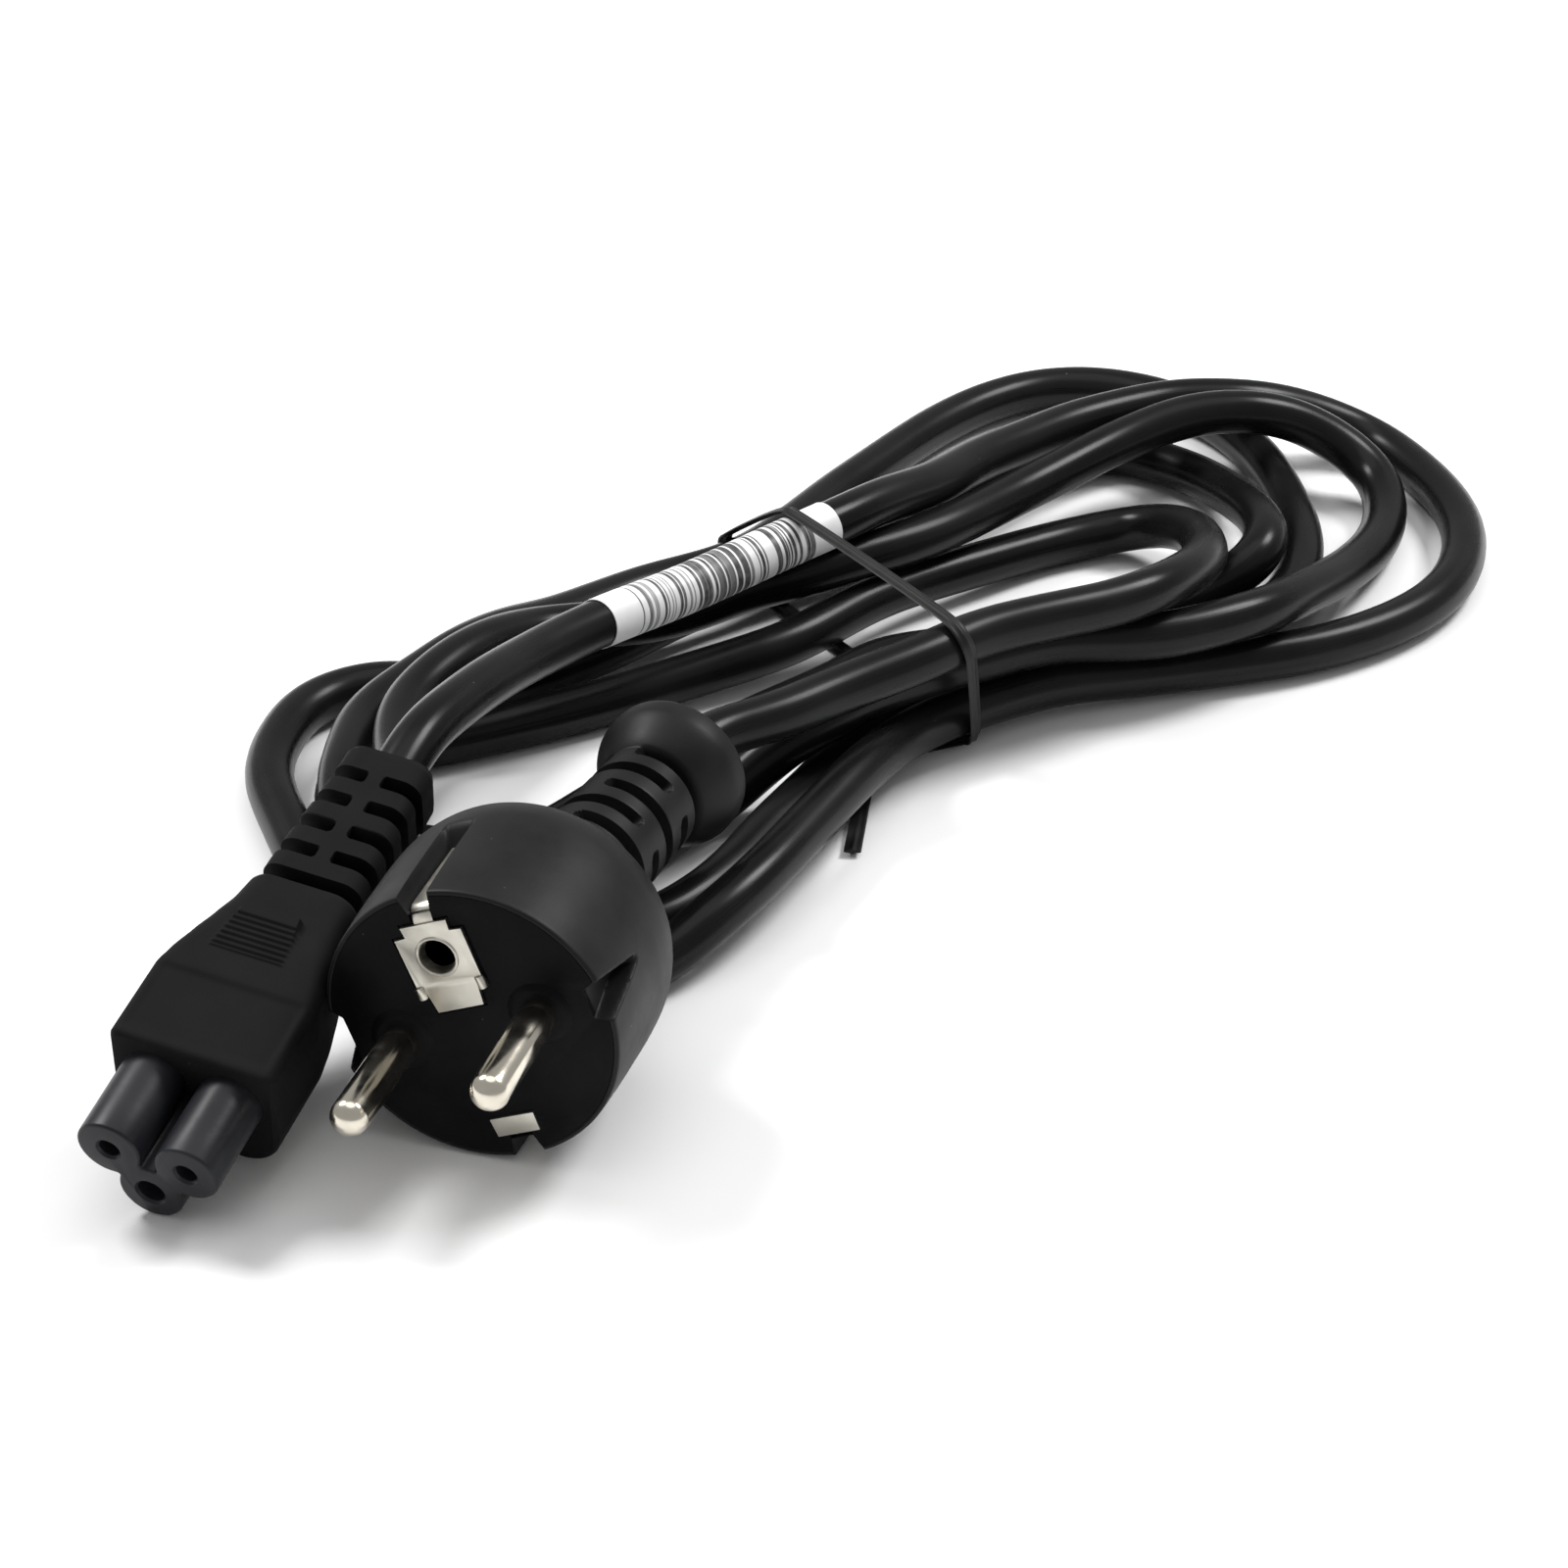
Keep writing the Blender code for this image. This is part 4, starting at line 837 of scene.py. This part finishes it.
def plate_outline():
    """The upper earth contact seen from the front: stepped at the top, with its lower end narrowed."""
    return [*UPPER_PLATE, *((-x, y) for x, y in reversed(UPPER_PLATE))]


def earth_plates(mat):
    """The upper and the lower plate, each with its leg."""
    upper = finished("earth_plate_upper", extruded(plate_outline(), PLATE_FRONT, 0.22, PLUG), mat)
    ring, bore = (turned(profile, PLUG, (0.0, EARTH_Y)) for profile in (EARTH_RING, EARTH_BORE))
    carved(upper, [ring, earth_leg(1), curl(-1), curl(1)], "UNION")
    carved(upper, [bore], "DIFFERENCE", bevel=PLATE_EDGE, smooth_under=25.0)
    lower = finished("earth_plate_lower", extruded(LOWER_PLATE, PLATE_FRONT, 0.2, PLUG), mat)
    carved(lower, [earth_leg(-1)], "UNION", bevel=PLATE_EDGE, smooth_under=25.0)
    return upper, lower


def earth_leg(side):
    """The strip that bends from a plate's edge down into its groove and runs back along it."""
    outer, inner = (smooth_line([(depth, y, 0) for depth, y in edge], 0.2)[:, :2]
                    for edge in (LEG_OUTER, LEG_INNER))
    back = ((LEG_END, LEG_OUTER[-1][1]), (LEG_END, LEG_INNER[0][1]))
    outline = [(depth, side * y) for depth, y in (*outer, *back, *inner)]
    return extruded(outline, -LEG_HALF, LEG_HALF, PLUG @ Matrix.Rotation(pi / 2, 4, "Y"))


def curl(side):
    """A small tab of the plate's edge rolled forward."""
    start, end = CURL["span"]
    outline = []
    for radius, first, last in ((CURL["outer"], start, end), (CURL["inner"], end, start)):
        for angle in np.linspace(first, last, CURL["points"]):
            outline.append((radius * cos(radians(angle)), radius * sin(radians(angle))))
    return skinned([[PLUG @ (Vector((side * (CURL["x"] + x), y, CURL["z"] + z)) * MM) for x, z in outline]
                    for y in CURL["between"]])


def plug_pin(name, side, mat):
    """A pin with a rounded tip, a little slimmer in its last part before the face."""
    tip = [(PIN_R * sin(radians(a)), -PIN_REACH + 2.1 * (1 - cos(radians(a)))) for a in range(0, 91, 6)]
    profile = tip + [(PIN_R, -PIN_REACH + 4.0), (PIN_R, -PIN_REACH + 9.0), (PIN_R - 0.03, -0.7),
                     (PIN_R - 0.03, PIN_ROOT), (0.0, PIN_ROOT)]
    return finished(name, turned(profile, PLUG, (side * PIN_X, 0.0)), mat)


# Connector

def eased(stations, depth):
    """The stations' values at a depth, on a smooth curve through them."""
    table = np.array(stations, float)
    depths = table[:, 0]
    i = int(np.clip(np.searchsorted(depths, depth) - 1, 0, len(depths) - 2))
    gap = depths[i + 1] - depths[i]
    t = min(max((depth - depths[i]) / gap, 0.0), 1.0)

    def slope(k):
        low, high = max(k - 1, 0), min(k + 1, len(depths) - 1)
        before = (table[k, 1:] - table[low, 1:]) / max(depths[k] - depths[low], 1e-6)
        after = (table[high, 1:] - table[k, 1:]) / max(depths[high] - depths[k], 1e-6)
        mild = np.where(np.abs(before) < np.abs(after), before, after)
        return np.where(before * after > 0, mild, 0.0)

    first, second = table[i, 1:], table[i + 1, 1:]
    return (first * (2 * t ** 3 - 3 * t ** 2 + 1) + slope(i) * gap * (t ** 3 - 2 * t ** 2 + t)
            + second * (3 * t ** 2 - 2 * t ** 3) + slope(i + 1) * gap * (t ** 3 - t ** 2))


def rounded_box(half, top, bottom, upper, lower):
    """A box with round corners as an outline of the same number of points whatever its size."""
    flat, corner, upright = 58, 9, 16
    parts = []
    for x, y, radius, quarter in ((half, top, upper, 0), (-half, top, upper, 1), (-half, bottom, lower, 2),
                                  (half, bottom, lower, 3)):
        cx, cy = x - np.sign(x) * radius, y - (radius if quarter < 2 else -radius)
        angles = (quarter + np.arange(corner + 1) / corner) * pi / 2
        parts.append(np.stack([cx + radius * np.cos(angles), cy + radius * np.sin(angles)], axis=1))
    outline = []
    for part, following, count in zip(parts, parts[1:] + parts[:1], (flat, upright, flat, upright)):
        outline.append(part)
        fractions = np.arange(1, count)[:, None] / count
        outline.append(part[-1] + (following[0] - part[-1]) * fractions)
    return np.concatenate(outline)


def connector_ring(depth):
    """The connector's outline at a depth, with its recess, crest, ribbed pad and grooves."""
    sizes = eased(BODY_STATIONS, depth)
    outline = rounded_box(*sizes)
    x, y = outline[:, 0], outline[:, 1]
    top = sizes[1]
    on_top = step_up(y, top - 0.9, top - 0.15)

    recess = between(depth, RECESS_START, CREASE_DEPTH, 1.3) * between(x, -RECESS_HALF, RECESS_HALF, 1.2)
    y = y - RECESS_SINK * (recess * on_top)
    y = y + CREST * (np.exp(-((depth - CREASE_DEPTH - 1.0) / 1.5) ** 2) * on_top)

    level = eased(BODY_STATIONS, PAD_START)[1] + PAD_LIFT
    along = min(max((depth - PAD_START) / (PAD_END - PAD_START), 0.0), 1.0)
    half = PAD_HALF[0] + (PAD_HALF[1] - PAD_HALF[0]) * along
    pad = between(depth, PAD_START, PAD_END, 0.35) * between(x - PAD_MIDDLE, -half, half, 0.3) * on_top
    ribs = 0.5 + 0.5 * cos(2 * pi * (depth - PAD_START) / PAD_PITCH)
    if depth > PAD_RIBS_END:
        ribs = 1.0
    y = y + pad * np.maximum(level - PAD_SINK * (1 - ribs) - y, -PAD_SINK)

    cut = np.zeros(len(x))
    half = RIB_GROOVE / 2
    for row in range(RIB_ROWS):
        middle = NECK_DEPTH + row * RIB_PITCH + half
        off = abs(depth - middle)
        if off > RIB_GROOVE:
            continue
        if row == 0:
            groove = np.full(len(x), float(1 - step_up(off, half - 0.2, half + 0.2)))
        else:
            beyond = np.maximum(SPINE_HALF + 0.4 - np.abs(x), 0.0)
            distance = np.hypot(beyond, max(off - half + 0.4, 0.0))
            groove = 1 - step_up(distance, 0.2, 0.6)
        cut = np.maximum(cut, groove)
    crown = 1 - 0.05 * step_up(depth, CONNECTOR_LENGTH - 0.9, CONNECTOR_LENGTH)
    share = (1 - cut * (1 - RIB_CORE)) * crown
    x = x * share
    y = BODY_AXIS + (y - BODY_AXIS) * share
    return [placed(CONNECTOR, a, b, depth) for a, b in zip(x, y)]


def connector_shell(mat):
    """The connector's overmould, in one skin."""
    # start, end and step of the depths at which there are rings
    spans = ((FRONT_DEPTH, 14.8, 0.15), (14.8, CREASE_DEPTH - 1.2, 0.8),
             (CREASE_DEPTH - 1.2, PAD_START - 0.5, 0.25), (PAD_START - 0.5, PAD_END + 0.6, 0.12),
             (PAD_END + 0.6, NECK_DEPTH, 0.15), (NECK_DEPTH, CONNECTOR_LENGTH, 0.2),
             (CONNECTOR_LENGTH, CONNECTOR_LENGTH + 0.1, 0.2))
    rings = [connector_ring(depth) for span in spans for depth in np.arange(*span)]
    return finished("connector_shell", skinned(rings), mat, 50.0)


def clover_outline(shrink):
    """The outline of the three lobes together, drawn in by shrink, with small fillets where they meet."""
    left, right, low = (np.array(lobe[:2]) for lobe in LOBES)
    points = []

    def arc(centre, start, end):
        count = max(int(abs(end - start) / 4.0), 2)
        for angle in np.radians(np.linspace(start, end, count)):
            points.append(centre + LOBE_R * np.array([cos(angle), sin(angle)]))

    gap = low - right
    apart = np.linalg.norm(gap)
    towards = np.degrees(np.arctan2(gap[1], gap[0]))
    half = np.degrees(np.arccos(apart / 2 / LOBE_R))
    from_low = towards + 180
    arc(right, towards + half, towards + 360 - half)
    arc(low, from_low + half, 180 - (from_low + half))
    arc(left, 180 - (towards + 360 - half), 180 - (towards + half))
    arc(low, 180 - (from_low - half), 360 + from_low - half)
    line = np.array(points + points[:1])
    along = distances(line)
    spots = np.linspace(0.0, along[-1], 241)[:-1]
    line = np.stack([np.interp(spots, along, line[:, k]) for k in range(2)], axis=1)
    for _ in range(6):
        line = (np.roll(line, 1, axis=0) + line * 2 + np.roll(line, -1, axis=0)) / 4
    ahead = np.roll(line, -1, axis=0) - np.roll(line, 1, axis=0)
    outward = np.stack([ahead[:, 1], -ahead[:, 0]], axis=1)
    outward /= np.linalg.norm(outward, axis=1)[:, None]
    return line - outward * shrink


def connector_lobes(mat):
    """The nose's three lobes with their holes."""
    edge = ((0.4, 0.0), (0.24, 0.04), (0.1, 0.14), (0.02, 0.28), (0.0, 0.45))
    rings = [[placed(CONNECTOR, x, y, depth) for x, y in clover_outline(shrink)]
             for shrink, depth in (*edge, (0.0, 4.0), (0.0, 8.0), (0.0, FRONT_DEPTH + 0.3))]
    lobes = finished("connector_lobes", skinned(rings), mat, 35.0)
    bores = []
    for x, y, radius in LOBES:
        bores.append(turned(((0.0, -1.0), (radius + 0.3, -1.0), (radius + 0.3, 0.0), (radius, 0.35),
                             (radius, HOLE_DEPTH), (0.0, HOLE_DEPTH)), CONNECTOR, (x, y), 40))
    return carved(lobes, bores, "DIFFERENCE", smooth_under=35.0)


def dressed():
    """Makes every piece, puts each on the body it rides on and hides the CAD part that it stands for."""
    soft = moulded("moulded_pvc", (0.0065, 0.0065, 0.0067), 0.47, 0.02, 0.16)
    matt = moulded("connector_pvc", (0.005, 0.005, 0.0052), 0.7, 0.03, 0.09)
    hard = moulded("plug_face_plastic", (0.0035, 0.0035, 0.0042), 0.42, 0.008, 0.06)
    lobe = moulded("lobe_plastic", (0.0105, 0.0108, 0.0135), 0.38, 0.008, 0.22, specks=0.02)
    nickel = plated("bright_nickel", (0.74, 0.69, 0.59), 0.16)
    satin = plated("satin_nickel", (0.64, 0.615, 0.545), 0.34)
    brass = plated("contact_brass", (0.62, 0.5, 0.28), 0.3)

    buried, line = cord_line()
    tube = swept(buried, circle(CORD_R, CORD_SIDES), (0, 0, 1))
    cord = finished("cord_run", tube, cord_jacket())
    paper = swept(stretch(line, LABEL_START, LABEL_LENGTH), wrapped_section(), (0, 0, 1))
    label = finished("label_wrap", paper, barred_paper())
    tie_path, across = tie_line(line)
    tie = finished("tie_ribbon", swept(tie_path, ribbon_section(), across), tie_plastic())

    shell = plug_shell(soft)
    face = plug_face(hard)
    upper, lower = earth_plates(satin)
    pins = [plug_pin("plug_pin_right", 1, nickel), plug_pin("plug_pin_left", -1, nickel)]
    body = connector_shell(matt)
    nose = connector_lobes(lobe)

    stands_for = (
        (cord, "cord"), (label, "paper_label"), (tie, "wire_tie"),
        (shell, "plug_body"), (face, "plug_insert"), (upper, "earth_clip_upper"), (lower, "earth_clip_lower"),
        (pins[0], "pin_right"), (pins[1], "pin_left"), (body, "connector_body"), (nose, "connector_nose"),
    )
    for piece, node in stands_for:
        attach(piece, "root")
        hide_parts(node)
    for name in ("contact_left", "contact_right", "contact_earth"):
        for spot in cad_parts[name].material_slots:
            spot.material = brass


camera()
studio()
dressed()
